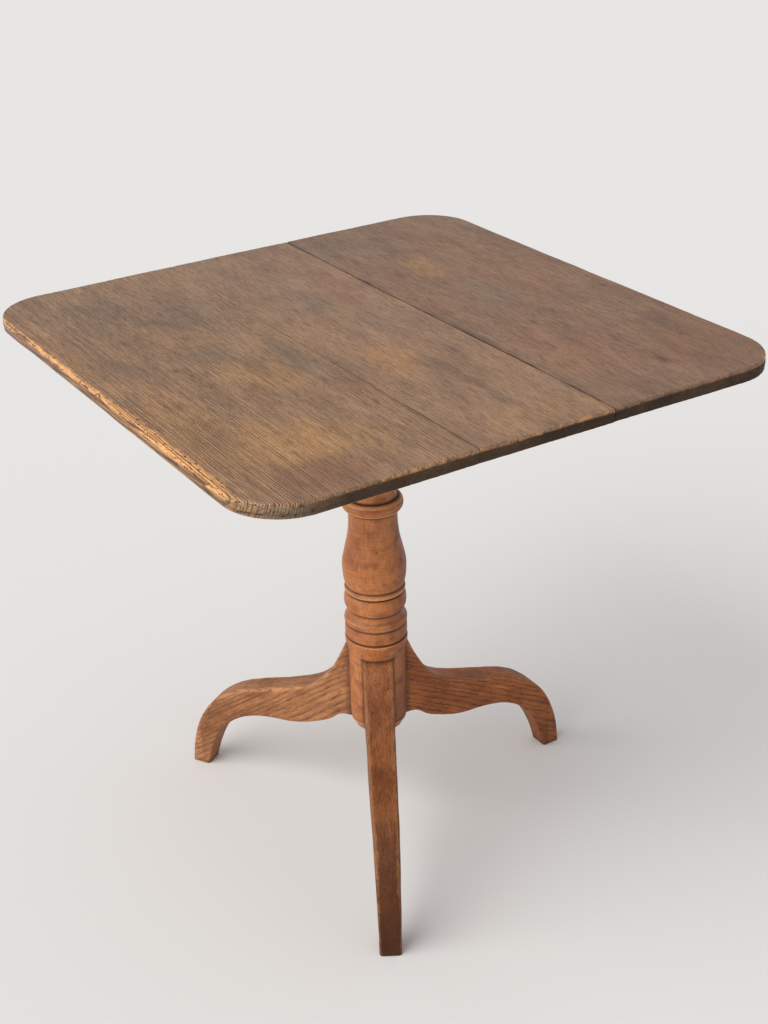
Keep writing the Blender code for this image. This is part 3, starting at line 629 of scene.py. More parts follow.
# Areas of colour on the top: middle x, y, half width, half length, strength.
GREY_AREAS = (
    (-0.160, 0.175, 0.070, 0.085, 0.42), (-0.012, 0.144, 0.030, 0.085, 0.38),
    (0.205, 0.012, 0.034, 0.060, 0.42), (-0.245, 0.250, 0.075, 0.070, 0.35),
    (0.150, 0.285, 0.060, 0.060, 0.30), (0.060, 0.020, 0.020, 0.120, 0.30),
    (-0.200, 0.045, 0.050, 0.030, 0.35), (-0.118, -0.040, 0.022, 0.085, 0.60),
    (0.020, 0.040, 0.024, 0.060, 0.40), (-0.165, -0.020, 0.018, 0.040, 0.35),
    (0.300, -0.120, 0.040, 0.100, 0.22), (-0.300, 0.040, 0.040, 0.060, 0.30),
)
GOLD_AREAS = (
    (-0.175, -0.058, 0.048, 0.058, 0.65), (-0.250, -0.245, 0.100, 0.080, 0.85),
    (-0.320, -0.150, 0.040, 0.180, 0.70), (-0.030, -0.103, 0.034, 0.065, 0.65),
    (0.188, 0.158, 0.032, 0.048, 0.60), (0.020, -0.330, 0.080, 0.045, 0.35),
    (-0.345, 0.140, 0.020, 0.200, 0.45),
)
RED_AREAS = (
    (-0.113, -0.150, 0.020, 0.060, 0.50), (-0.250, -0.322, 0.062, 0.046, 0.85),
    (0.055, 0.200, 0.030, 0.160, 0.60), (0.270, 0.150, 0.070, 0.170, 0.55),
    (0.160, -0.200, 0.060, 0.120, 0.55), (0.300, -0.270, 0.075, 0.090, 0.75),
    (0.120, 0.080, 0.022, 0.180, 0.45), (-0.290, 0.060, 0.050, 0.090, 0.30),
)
DIRT_AREAS = (
    (0.009, -0.220, 0.010, 0.105, 0.22), (0.096, -0.120, 0.006, 0.090, 0.45),
    (0.089, 0.110, 0.004, 0.060, 0.35), (-0.094, -0.230, 0.003, 0.130, 0.40),
    (-0.180, 0.165, 0.030, 0.040, 0.12), (0.315, -0.270, 0.075, 0.110, 0.22),
)
# Dents: x, y, length across the grain, length along it, depth.
DENTS = (
    (-0.2565, 0.0145, 0.0022, 0.0040, 0.0007), (-0.2470, -0.0100, 0.0016, 0.0036, 0.0006),
    (-0.3006, -0.0835, 0.0020, 0.0050, 0.0007), (-0.2005, -0.1395, 0.0018, 0.0040, 0.0006),
    (-0.1116, -0.1970, 0.0016, 0.0060, 0.0006), (0.1796, -0.1010, 0.0020, 0.0050, 0.0006),
    (0.1495, -0.1850, 0.0018, 0.0060, 0.0006), (0.3385, -0.0450, 0.0020, 0.0050, 0.0006),
    (0.0480, -0.1200, 0.0016, 0.0070, 0.0005), (-0.0520, 0.0600, 0.0014, 0.0080, 0.0005),
    (0.2300, -0.2900, 0.0040, 0.0100, 0.0005), (0.1250, 0.2350, 0.0016, 0.0070, 0.0005),
)


def area_strength(x, y, areas, seed):
    """How strongly any of the areas covers each place, with ragged borders along the grain."""
    total = np.zeros(len(x))
    sway = ripple(x, y, 0.03, seed) * 0.30 + ripple(x * 3, y, 0.02, seed + 1) * 0.22
    for ax, ay, wide, long, strength in areas:
        reach = np.hypot((x - ax) / wide, (y - ay) / long) + sway
        total = np.maximum(total, (1 - blend(0.35, 1.25, reach)) * strength)
    return total


def nearest_core(x, y, low, high):
    """The nearest place of the top that lies at least a corner's radius inside its sides."""
    return (np.clip(x, low[0] + CORNER, high[0] - CORNER),
            np.clip(y, low[1] + CORNER, high[1] - CORNER))


def edge_distance(x, y, low, high):
    """How far inside the whole top's rounded outline each place is."""
    cx, cy = nearest_core(x, y, low, high)
    dx, dy = x - cx, y - cy
    length = np.hypot(dx, dy)
    in_corner = (np.abs(dx) > 1e-9) & (np.abs(dy) > 1e-9)
    straight = np.minimum(np.minimum(x - low[0], high[0] - x), np.minimum(y - low[1], high[1] - y))
    return np.where(in_corner, CORNER - length, straight)


def trim_corners(points, low, high):
    """Bring a flat sheet of points inside the rounded outline."""
    x, y = points[:, 0], points[:, 1]
    cx, cy = nearest_core(x, y, low, high)
    dx, dy = x - cx, y - cy
    # A square corner is drawn in to a quarter circle, each square ring to its arc.
    square = np.maximum(np.abs(dx), np.abs(dy))
    length = np.hypot(dx, dy)
    share = np.where(length > 1e-9, square / np.maximum(length, 1e-9), 1.0)
    at_corner = (np.abs(dx) > 1e-9) & (np.abs(dy) > 1e-9)
    share = np.where(at_corner, share, 1.0)
    points[:, 0] = cx + dx * share
    points[:, 1] = cy + dy * share
    return points


def spaced(low, high, step, low_steps, high_steps):
    """Places from low to high: close together at each end as given, then a step apart."""
    start = [low + value for value in low_steps]
    end = [high - value for value in reversed(high_steps)]
    count = max(2, round((end[0] - start[-1]) / step))
    middle = [start[-1] + (end[0] - start[-1]) * i / count for i in range(1, count)]
    return np.array(start + middle + end)


OUTER_STEPS = (0.0, 0.0005, 0.0012, 0.0021, 0.0032, 0.0050, 0.0075, 0.0110)
SEAM_STEPS = (0.0, 0.0003, 0.0009, 0.0018)
WALL_SLICES = 9


def board_blank(name, across, along):
    """A grid raised to a slab with sliced walls: its points and where each lies in the grid."""
    begin()
    bpy.ops.mesh.primitive_grid_add(
        x_subdivisions=len(across) - 1, y_subdivisions=len(along) - 1, size=1
    )
    piece = added(name)
    bpy.ops.mesh.select_all(action="SELECT")
    bpy.ops.mesh.extrude_region_move(TRANSFORM_OT_translate={"value": (0, 0, 1)})
    for i in range(1, WALL_SLICES):
        bpy.ops.mesh.select_all(action="SELECT")
        bpy.ops.mesh.bisect(plane_co=(0, 0, i / WALL_SLICES), plane_no=(0, 0, 1))
    bpy.ops.object.mode_set(mode="OBJECT")
    points = points_of(piece)
    column = np.rint((points[:, 0] + 0.5) * (len(across) - 1)).astype(int)
    row = np.rint((points[:, 1] + 0.5) * (len(along) - 1)).astype(int)
    return piece, across[column], along[row], points[:, 2].copy()


def round_drop(distance, radius):
    """How far a rounded edge of that radius lies below the flat, at a distance from the rim."""
    inward = np.clip(radius - distance, 0, None)
    return radius - np.sqrt(np.maximum(radius * radius - inward * inward, 0))


def edge_wear(x, y, low):
    """Width in metres of the rubbed slope along the rim: broad on the left side near the front."""
    left = blend(0.06, 0.0, x - low[0])
    stretch = blend(-0.36, -0.27, y) * (1 - blend(-0.10, 0.06, y))
    broad = left * stretch * 0.0085
    uneven = ripple(x * 2, y, 0.035, 21) * 0.0012
    return 0.0014 + broad + uneven * (0.4 + left)


def make_board(name, finish):
    low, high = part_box(name)
    slab_low = (TOP_LEFT, low.y)
    slab_high = (TOP_RIGHT, high.y)
    left_open = low.x > TOP_LEFT + MM
    right_open = high.x < TOP_RIGHT - MM
    across = spaced(low.x, high.x, GRAIN_STEP, SEAM_STEPS if left_open else OUTER_STEPS,
                    SEAM_STEPS if right_open else OUTER_STEPS)
    along = spaced(low.y, high.y, LENGTH_STEP, OUTER_STEPS, OUTER_STEPS)
    piece, x, y, share = board_blank(name + "_oak", across, along)

    # Bring the sheet inside the rounded corners, then note how deep each place lies.
    flat = np.stack((x, y, share), axis=1)
    flat = trim_corners(flat, slab_low, slab_high)
    x, y = flat[:, 0].copy(), flat[:, 1].copy()
    inside = np.maximum(edge_distance(x, y, slab_low, slab_high), 0)
    beside = np.full(len(x), 1.0)
    if left_open:
        beside = np.minimum(beside, x - low.x)
    if right_open:
        beside = np.minimum(beside, high.x - x)

    # The way out of the slab at each place.
    cx, cy = nearest_core(x, y, slab_low, slab_high)
    out = np.stack((x - cx, y - cy), axis=1)
    out /= np.maximum(np.linalg.norm(out, axis=1), 1e-9)[:, None]
    at_end = out[:, 1] ** 2
    slope = edge_wear(x, y, slab_low)
    crumble = np.abs(ripple(x, y, 0.0045, 31)) * at_end + np.abs(ripple(x, y, 0.030, 32)) * (1 - at_end)
    upper_radius = UPPER_ROUND * (1 + 0.30 * ripple(x, y, 0.05, 33)) + 0.0009 * crumble
    lower_radius = LOWER_ROUND * (1 + 0.20 * ripple(x, y, 0.07, 34))
    lower_radius = lower_radius - 0.0018 * blend(0.10, 0.33, x) * at_end
    hollow = round_drop(inside, upper_radius) + blend(1.0, 0.0, inside / slope) * slope * 0.055
    hollow += round_drop(beside, 0.0009 + 0.0006 * np.abs(ripple(x, y, 0.02, 35)))
    hollow += round_drop(np.hypot(inside, beside), 0.0030) * 0.6
    furrow = ripple(x, y * 0.04, 0.0034, 36) + 0.7 * ripple(x, y * 0.03, 0.0071, 37)
    hollow += 0.00005 * (1.7 + furrow)
    hollow += 0.00025 * (1 + ripple(x, y * 0.6, 0.12, 38))
    for dx, dy, wide, long, deep in DENTS:
        hollow += deep * np.exp(-((x - dx) / wide) ** 2 - ((y - dy) / long) ** 2)
    under = round_drop(inside, lower_radius) + round_drop(beside, 0.0008)
    top_z = high.z - hollow
    low_z = low.z + under
    z = low_z + (top_z - low_z) * share

    # The rim is drawn in a little where it is chipped and rubbed.
    pull = 0.00035 * (1 + ripple(x * 3, y * 3, 0.011, 39)) * at_end
    pull += 0.00040 * (1 + ripple(x, y, 0.050, 40))
    pits = np.clip(ripple(x, y * 0.35 + share, 0.0060, 41) - 0.45, 0, None) * 0.0016
    pull = (pull + pits * (inside < MM)) * blend(0.0120, 0.0, inside)
    rim = inside < 1e-6
    bulge = 0.0006 * (1 - np.sin(math.pi * np.clip(share, 0, 1))) * rim
    x = x - out[:, 0] * (pull + bulge)
    y = y - out[:, 1] * (pull + bulge)
    set_points(piece, np.stack((x, y, z), axis=1))

    # What the finish reads.
    wall = blend(0.0030, 0.0004, inside) * (1 - blend(0.80, 1.0, share))
    arris = blend(slope * 1.6 + 0.0045, 0.0, inside) * blend(0.55, 0.9, share)
    side = 1 - at_end
    near_half = blend(0.20, -0.10, y)
    rubbed = 0.40 + 0.60 * side * (0.45 + 0.55 * near_half)
    paint(piece, "edge", arris * rubbed * np.where(x < 0.1, 1, 0.65))
    paint(piece, "end", np.clip(wall * at_end * 1.3, 0, 1))
    paint(piece, "bleached", blend(-0.25, -0.33, x) * blend(-0.29, -0.35, y))
    gold = area_strength(x, y, GOLD_AREAS, 51) * (share > 0.5)
    back = blend(0.08, 0.24, y)
    red = area_strength(x, y, RED_AREAS, 52) * (share > 0.5)
    paint(piece, "gold", np.maximum(gold, wall * side * 0.85 * (1 - back)))
    paint(piece, "red", np.maximum(red, wall * side * back))
    # Grey areas, and greyer towards the back as a painted sheen.
    paint(piece, "grey", area_strength(x, y, GREY_AREAS, 53) + 0.25 * blend(0.0, 0.36, y))
    grime = area_strength(x, y, DIRT_AREAS, 54)
    for dx, dy, wide, long, deep in DENTS:
        grime += 0.6 * np.exp(-((x - dx) / wide / 1.7) ** 2 - ((y - dy) / long / 1.2) ** 2)
    tight = blend(0.02, -0.10, y) * (x < 0) + (x > 0)
    grime += blend(0.0018, 0.0, beside) * tight * (0.35 + 0.5 * np.clip(ripple(x, y, 0.03, 55), 0, 1))
    grime += 0.30 * wall * side * blend(0.1, 0.6, ripple(x, y * 0.25 + share * 0.02, 0.008, 56))
    grime += 0.7 * (pits > 0.0002) * rim
    grime += 0.4 * (share < 0.3) * rim
    paint(piece, "dirt_and_shade", np.clip(grime, 0, 1))
    fine_lines = 0.55 + 0.45 * blend(-0.24, -0.31, x) + 0.2 * blend(0.1, -0.1, y)
    paint(piece, "lines", np.where(share > 0.3, fine_lines, 0.6))
    close_up(piece, 50)
    return settle(piece, finish, "top", name)


# ------------------------------------------------------------------ the column
def cubic_run(a, b, c, d, steps):
    """Points on one cubic curve, its last point left out."""
    points = []
    for i in range(steps):
        t = i / steps
        weights = ((1 - t) ** 3, 3 * t * (1 - t) ** 2, 3 * t * t * (1 - t), t ** 3)
        points.append(tuple(sum(w * p[k] for w, p in zip(weights, (a, b, c, d))) for k in (0, 1)))
    return points


def half_round(low, high, root, crest, steps=10):
    """A bead that swells from root to crest and back."""
    points = []
    for i in range(steps + 1):
        angle = math.pi * i / steps
        height = (low + high) / 2 - (high - low) / 2 * math.cos(angle)
        points.append((root + (crest - root) * math.sin(angle), height))
    return points


BASE = 0.0395              # radius of the cylinder that holds the legs
FOOT = COLUMN_LOW.z
SEAT = 0.2713              # where that cylinder ends
SHAFT_LOW = 0.0268
SHAFT_TOP = 0.0235
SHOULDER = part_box("batten_front")[0].z + 0.0002
TENON = 0.018
TENON_TOP = COLUMN_HIGH.z
SCRIBE = 0.4550            # the scribed line on the vase


def beside(radius, height, steps):
    """Places of an outline, given by how far they lie out and up from one place."""
    return [(radius + out, height + up) for out, up in steps]


def turning():
    """The turned outline from the foot to the tenon's top, as (radius, height)."""
    # The foot's bead, then the plain cylinder that holds the legs.
    profile = beside(BASE, FOOT, (
        (-0.0090, 0.0), (-0.0070, 0.0002), (-0.0060, 0.0010), (-0.0055, 0.0050),
        (-0.0040, 0.0075), (-0.0025, 0.0083)))
    profile += half_round(FOOT + 0.0085, FOOT + 0.0155, BASE - 0.0025, BASE - 0.0007, 6)
    for i in range(40):
        profile.append((BASE - 0.0002, FOOT + 0.0165 + (SEAT - FOOT - 0.0160) * i / 40))
    # The collar and the rings under the vase.
    profile += beside(BASE, SEAT, (
        (0.0, 0.0010), (0.0004, 0.0045), (0.0017, 0.0095), (0.0025, 0.0125), (0.0032, 0.0150),
        (0.0036, 0.0190), (0.0035, 0.0210), (0.0030, 0.0222), (0.0012, 0.0229), (0.0011, 0.0242),
        (0.0022, 0.0250), (0.0029, 0.0265), (0.0031, 0.0300), (0.0031, 0.0340), (0.0029, 0.0390),
        (0.0025, 0.0414), (0.0014, 0.0427), (0.0012, 0.0442), (0.0024, 0.0452), (0.0034, 0.0475),
        (0.0035, 0.0505), (0.0030, 0.0530), (0.0005, 0.0563), (-0.0006, 0.0590),
        (-0.0014, 0.0625), (-0.0019, 0.0660)))
    profile += half_round(SEAT + 0.0665, SEAT + 0.0920, BASE - 0.0019, BASE + 0.0030, 14)
    profile += beside(BASE, SEAT, ((-0.0005, 0.0928),))
    profile += half_round(SEAT + 0.0935, SEAT + 0.1005, BASE + 0.0003, BASE + 0.0020, 7)
    profile += beside(BASE, SEAT, ((0.0, 0.1012), (0.0, 0.1030)))
    # The vase and the ring on its neck.
    low, wide, neck, ring = SEAT + 0.1040, SEAT + 0.1355, SEAT + 0.2050, SEAT + 0.2090
    profile += cubic_run((0.0400, low), (0.0429, low + 0.0065),
                         (0.0440, wide - 0.0110), (0.0433, wide), 12)
    profile += cubic_run((0.0433, wide), (0.0415, wide + 0.0180),
                         (0.0328, neck - 0.0340), (0.0328, neck), 24)
    profile += [(0.0328, neck), (0.0328, ring)]
    profile += beside(0.0, ring, ((0.0340, 0.0006), (0.0341, 0.0012), (0.0341, 0.0042)))
    profile += half_round(ring + 0.0050, ring + 0.0234, 0.0343, 0.0412, 14)
    profile += beside(0.0, ring, ((0.0330, 0.0239), (0.0327, 0.0258)))
    # The slender shaft up to the shoulder that carries the block, and the tenon.
    shaft = ring + 0.0263
    profile += cubic_run((0.0326, shaft), (0.0290, shaft + 0.0060),
                         (0.0272, shaft + 0.0180), (SHAFT_LOW, shaft + 0.0330), 12)
    for i in range(30):
        share = i / 30
        profile.append((SHAFT_LOW + (SHAFT_TOP - SHAFT_LOW) * share,
                        shaft + 0.0330 + (SHOULDER - 0.0260 - shaft - 0.0330) * share))
    profile += [(SHAFT_TOP, SHOULDER - 0.0260)]
    profile += half_round(SHOULDER - 0.0255, SHOULDER - 0.0195, SHAFT_TOP, SHAFT_TOP + 0.0030, 8)
    profile += beside(SHAFT_TOP, SHOULDER, ((0.0, -0.0185), (0.0006, -0.0140), (0.0018, -0.0105)))
    profile += beside(0.0, SHOULDER, (
        (0.0285, -0.0055), (0.0297, -0.0045), (0.0300, -0.0038), (0.0300, -0.0004), (0.0296, 0.0)))
    profile += [(TENON, SHOULDER), (TENON, TENON_TOP - 0.0006), (TENON - 0.0006, TENON_TOP)]
    return profile


def lathe(name, profile, sides, centre=AXIS):
    """Turn a piece ring by ring: each extrusion is lifted and then resized to its radius."""
    begin()
    radius, height = profile[0]
    bpy.ops.mesh.primitive_circle_add(
        vertices=sides, radius=radius, fill_type="NGON", location=(centre.x, centre.y, height)
    )
    bpy.ops.object.transform_apply(location=True, rotation=True, scale=True)
    piece = added(name)
    bpy.ops.mesh.select_all(action="SELECT")
    for next_radius, next_height in profile[1:]:
        lift = max(next_height - height, 0.0)
        bpy.ops.mesh.extrude_region_move(TRANSFORM_OT_translate={"value": (0, 0, lift)})
        grow = next_radius / radius
        bpy.ops.transform.resize(value=(grow, grow, 1), center_override=(centre.x, centre.y, next_height))
        radius, height = next_radius, max(next_height, height)
    bpy.ops.object.mode_set(mode="OBJECT")
    return piece


def around(outline, angle):
    """Turn places given from the column's axis by an angle, and carry them to it."""
    turn = math.radians(angle)
    c, s = math.cos(turn), math.sin(turn)
    return [(AXIS.x + x * c - y * s, AXIS.y + x * s + y * c) for x, y in outline]


FLAT = 0.0326424           # from the axis to the flat that a leg stands against
KERF = 0.0052              # width of the saw cut for the wedge, at its mouth


def tail_places(grow, reach):
    deep = FLAT - 0.012 - grow
    back, mouth = 0.011 + grow, 0.008 + grow
    return [(deep, -back), (FLAT, -mouth), (reach, -mouth), (reach, mouth), (FLAT, mouth), (deep, back)]


def make_column(finish):
    profile = turning()
    piece = lathe("column_turned", profile, 96)
    close_up(piece, 60)
    for _, angle, shoulder in LEGS:
        top = RISE * shoulder[0][1] + 0.0008
        flat = around([(FLAT, -WIDE), (WIDE, -WIDE), (WIDE, WIDE), (FLAT, WIDE)], angle)
        combine(piece, bar("flat", flat, FOOT - 0.01, top))
        slot = around(tail_places(FIT, WIDE), angle)
        combine(piece, bar("slot", slot, FOOT - 0.01, RISE - 0.0067))
    kerf_low = TENON_TOP - 0.032
    left, right = AXIS.x - KERF / 2, AXIS.x + KERF / 2
    front, back = AXIS.y - WIDE, AXIS.y + WIDE
    kerf = bar("kerf", [(left, front), (right, front), (right, back), (left, back)],
               kerf_low, TENON_TOP + 0.01)
    points = points_of(kerf)
    root = points[:, 2] < kerf_low + MM
    points[root, 0] = AXIS.x + (points[root, 0] - AXIS.x) * 0.45
    set_points(kerf, points)
    combine(piece, kerf)

    points = points_of(piece)
    x, y, z = points.T.copy()
    radius = np.hypot(x - AXIS.x, y - AXIS.y)
    turn = np.arctan2(y - AXIS.y, x - AXIS.x)
    radii = np.array([r for r, _ in profile])
    heights = np.maximum.accumulate(np.array([h for _, h in profile]) + np.arange(len(profile)) * 1e-9)
    fine = np.linspace(FOOT, SHOULDER, 1100)
    drawn = np.interp(fine, heights, radii)
    window = np.ones(17) / 17
    padded = np.pad(drawn, 8, mode="edge")
    smooth = np.convolve(padded, window, mode="valid")
    sunk = np.interp(z, fine, smooth - drawn)
    on_turning = np.abs(radius - np.interp(z, heights, radii)) < 0.0006
    around_x, around_y = turn * 0.04, z
    crest = blend(0.0001, 0.0010, -sunk) * on_turning
    # Dark in the grooves: dirt there, deepened as painted shade.
    groove_dirt_and_shade = blend(0.0001, 0.0009, sunk) * on_turning
    rub = 0.00022 * (1 + ripple(around_x, around_y, 0.012, 61)) * on_turning * (z < SHOULDER - MM)
    chips = np.clip(ripple(around_x, around_y, 0.006, 62) - 0.72, 0, None) * 0.0030 * crest
    wobble = 0.00025 * (1 + np.sin(turn * 2 + 0.6))
    inward = (rub + chips + wobble * on_turning) * (z > FOOT + MM)
    inward = inward * (z < SHOULDER - MM)
    x -= np.cos(turn) * inward
    y -= np.sin(turn) * inward
    set_points(piece, np.stack((x, y, z), axis=1))
    vase = blend(SEAT + 0.10, SEAT + 0.12, z) * (1 - blend(SEAT + 0.185, SEAT + 0.21, z))
    clouds = blend(0.10, 0.95, ripple(around_x, around_y * 1.5, 0.014, 63)
                   + 0.7 * ripple(around_x, around_y, 0.0045, 64))
    facing = 0.5 + 0.5 * np.cos(turn - math.radians(-70))
    stain_and_shade = clouds * vase * (0.25 + 0.75 * facing) * 0.62
    reds = blend(0.15, 0.70, ripple(around_x, around_y * 1.6, 0.016, 65))
    stain_and_shade += 0.45 * reds * (1 - vase)
    # Darker towards the foot.
    stain_and_shade += 0.35 * blend(SEAT - 0.02, FOOT, z) * on_turning
    # Painted shade: the side turned away from the window is coloured darker, more so on the base, up to the
    # neck.
    shaded = blend(0.35, 0.95, np.cos(turn - math.radians(-22)))
    below_neck = 1 - blend(0.50, 0.56, z)
    stain_and_shade += shaded * (0.52 + 0.22 * blend(SEAT + 0.03, SEAT - 0.01, z)) * below_neck
    scribe = np.exp(-((z - SCRIBE) / 0.0006) ** 2)
    knot = np.exp(-((turn - math.radians(-92)) / 0.07) ** 2 - ((z - SEAT - 0.034) / 0.0022) ** 2)
    paint(piece, "stain_and_shade", np.clip(stain_and_shade, 0, 1))
    paint(piece, "edge", np.clip(crest, 0, 1))
    ledge_shadow, joint_shadow = np.zeros(len(z)), np.zeros(len(z))
    for _, angle, shoulder in LEGS:
        off = np.abs((turn - math.radians(angle) + math.pi) % (2 * math.pi) - math.pi)
        top = RISE * shoulder[0][1]
        # Painted shadow: a dark line on the column just over each leg's top.
        ledge_shadow += 0.7 * np.exp(-((z - top - 0.0012) / 0.0016) ** 2) * blend(0.9, 0.5, off)
        # Painted shade along the gap between each leg and the column's flat.
        gap = np.abs(off * BASE - 0.0232)
        joint_shadow = np.maximum(joint_shadow, blend(0.0035, 0.0005, gap) * (z < SEAT + 0.008))
    for bearing, height, size in ((-88, 0.4085, 0.0022), (-62, 0.4170, 0.0030), (-104, 0.3890, 0.0018),
                                  (-75, 0.3860, 0.0022), (-118, 0.4360, 0.0016), (-70, 0.4430, 0.0018)):
        off = (turn - math.radians(bearing)) * 0.042
        knot += 0.75 * np.exp(-(off / size) ** 2 - ((z - height) / size) ** 2)
    # Dirt in the grooves, the scribed line and the knots, with painted shade in the grooves, under the
    # ledges and at the leg joints.
    dirt_and_shade = groove_dirt_and_shade * 0.90 + scribe * 0.45 + knot * 0.9 + ledge_shadow + joint_shadow * 0.55
    paint(piece, "dirt_and_shade", np.clip(dirt_and_shade, 0, 1))
    close_up(piece, 35)
    return settle(piece, finish, "base", "column")


# ------------------------------------------------------------------ the legs
RISE = 0.2705
REACH = 0.3110 - FLAT - FIT
HIGH_SHOULDER = ((0.0, 1.045), (0.020, 1.070), (0.060, 0.870))
LOW_SHOULDER = ((0.0, 0.994), (0.046, 0.998), (0.091, 0.847))
LEG_UPPER = ((0.188, 0.751), (0.256, 0.685), (0.385, 0.650),
             (0.601, 0.581), (0.835, 0.506), (0.980, 0.317), (1.0, 0.0))
LEG_LOWER = ((0.0, 0.596), (0.096, 0.591), (0.088, 0.546),
             (0.161, 0.513), (0.346, 0.429), (0.390, 0.446),
             (0.483, 0.434), (0.749, 0.400), (0.837, 0.247), (0.900, 0.0))
LEG_WIDTHS = (0.0415, 0.0400, 0.0370, 0.0290)
LEG_RUNS = (16, 20, 26)
LEGS = (("leg_right", 0.0, HIGH_SHOULDER), ("leg_left", 121.5, HIGH_SHOULDER),
        ("leg_front", 239.75, LOW_SHOULDER))


def leg_curve(controls):
    points = []
    for run, steps in enumerate(LEG_RUNS):
        four = [(FLAT + FIT + REACH * u, RISE * v) for u, v in controls[3 * run:3 * run + 4]]
        points += cubic_run(*four, steps)
    points.append((FLAT + FIT + REACH * controls[-1][0], RISE * controls[-1][1]))
    return np.array(points)


def leg_section_shape(width, height, upper_radius, lower_radius):
    """A rounded section: (across, up from the lower edge, how near an upper arris)."""
    shape = []
    corners = ((1, 1, upper_radius, 0), (-1, 1, upper_radius, 90),
               (-1, 0, lower_radius, 180), (1, 0, lower_radius, 270))
    for i, (side, above, radius, start) in enumerate(corners):
        middle = (side * (width / 2 - radius), height - radius if above else radius)
        for k in range(6):
            angle = math.radians(start + 18 * k)
            place = (middle[0] + radius * math.cos(angle), middle[1] + radius * math.sin(angle))
            shape.append((*place, 1.0 if above else 0.35))
        following = corners[(i + 1) % 4]
        far = (following[0] * (width / 2 - following[2]),
               height - following[2] if following[1] else following[2])
        angle = math.radians(following[3])
        far = (far[0] + following[2] * math.cos(angle), far[1] + following[2] * math.sin(angle))
        here = shape[-1]
        count = 9 if i in (1, 3) else 5
        for k in range(1, count):
            share = k / count
            shape.append((here[0] + (far[0] - here[0]) * share, here[1] + (far[1] - here[1]) * share, 0.0))
    return shape


def make_leg(name, angle, shoulder, finish):
    upper, lower = leg_curve(shoulder + LEG_UPPER), leg_curve(LEG_LOWER)
    stations = len(upper)
    widths = []
    for run, steps in enumerate(LEG_RUNS):
        start, end = LEG_WIDTHS[run:run + 2]
        widths += [start + (end - start) * i / steps for i in range(steps)]
    widths.append(LEG_WIDTHS[-1])
    sides = len(leg_section_shape(0.04, 0.1, 0.004, 0.002))
    piece, level, turn = ring_stack(name + "_sawn", sides, stations)
    slot = np.rint(turn / (2 * math.pi) * sides).astype(int) % sides
    seed = 70 + int(angle)
    points = np.zeros((len(level), 3))
    arris = np.zeros(len(level))
    along = np.zeros(len(level))
    for i in range(stations):
        up = Vector((upper[i][0] - lower[i][0], upper[i][1] - lower[i][1]))
        height = up.length
        up.normalize()
        ease = min(1.0, 0.10 + i / 8)
        worn = 1 + 0.25 * float(ripple(i * 0.01, seed, 0.035, seed))
        shape = leg_section_shape(widths[i], height, 0.0042 * ease * worn, 0.0025 * ease)
        for k in np.nonzero(level == i)[0]:
            across, high, near = shape[slot[k]]
            points[k] = (lower[i][0] + up.x * high, across, lower[i][1] + up.y * high)
            arris[k] = near
            along[k] = i / (stations - 1)
    # Hand-shaping: sides not quite flat, arrises dented, all kept inside the sawn size.
    side = np.sign(points[:, 1])
    uneven = 0.00030 * (1 + ripple(points[:, 0], points[:, 2], 0.028, seed + 1))
    uneven += 0.0011 * arris * np.clip(ripple(points[:, 0], points[:, 1] * 3, 0.013, seed + 2) - 0.25, 0, 1)
    uneven *= blend(0.0, 0.06, along) * (level < stations - 1)
    points[:, 1] -= side * np.minimum(uneven, np.abs(points[:, 1]))
    nicks = 0.0009 * arris * np.clip(ripple(points[:, 0], side, 0.010, seed + 3) - 0.35, 0, 1)
    points[:, 2] -= nicks * blend(0.03, 0.08, along) * (level < stations - 1) * (points[:, 2] > 0.05)

    turned = math.radians(angle)
    c, s = math.cos(turned), math.sin(turned)
    place = points.copy()
    place[:, 0] = AXIS.x + points[:, 0] * c - points[:, 1] * s
    place[:, 1] = AXIS.y + points[:, 0] * s + points[:, 1] * c
    set_points(piece, place)
    close_up(piece, 50)

    tail = bar("tail", around(tail_places(0.0, FLAT + 0.0043), angle),
               RISE * LEG_LOWER[0][1] + FIT, RISE - 0.007)
    combine(piece, tail, "UNION")

    now = points_of(piece)
    local_x = (now[:, 0] - AXIS.x) * c + (now[:, 1] - AXIS.y) * s
    local_y = -(now[:, 0] - AXIS.x) * s + (now[:, 1] - AXIS.y) * c
    top_line = np.interp(local_x, upper[:, 0], upper[:, 1])
    width_here = np.interp(local_x, upper[:, 0], widths)
    from_top = np.clip(top_line - now[:, 2], 0, None)
    from_side = np.clip(width_here / 2 - np.abs(local_y), 0, None)
    close_by = np.maximum(from_top, from_side)
    edge = blend(0.0075, 0.0015, close_by)
    edge = np.where(local_x > FLAT + REACH * 0.93, blend(0.006, 0.001, from_side) * 0.6, edge)
    paint(piece, "edge", edge)
    # Painted shade where the leg meets the column.
    root = blend(FLAT + 0.010, FLAT + 0.001, local_x) * 0.55
    # Dark wear on the sole, with a painted contact shadow.
    sole_wear_and_shadow = blend(0.006, 0.001, now[:, 2]) * 0.5
    paint(piece, "dirt_and_shade", np.clip(root + sole_wear_and_shadow, 0, 1))
    close_up(piece, 42)
    return settle(piece, finish, "base", name)


# ------------------------------------------------------------------ under the top
def box_edges(points, low, high):
    """How near each place is to an edge of the box between two corners."""
    gaps = np.minimum(points - np.array(low), np.array(high) - points)
    return blend(0.0040, 0.0008, np.sort(gaps, axis=1)[:, 1])


def screw_recess(name):
    """The hole a screw sits in, open below its head."""
    low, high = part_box(name)
    middle = (low + high) / 2
    head = (high.x - low.x) / 2 + 0.0004
    profile = [(head, low.z - 0.008), (head, low.z + 0.0010), (0.0027, low.z + 0.0032)]
    profile += [(0.0027, high.z + FIT)]
    return lathe("recess", profile, 24, middle)


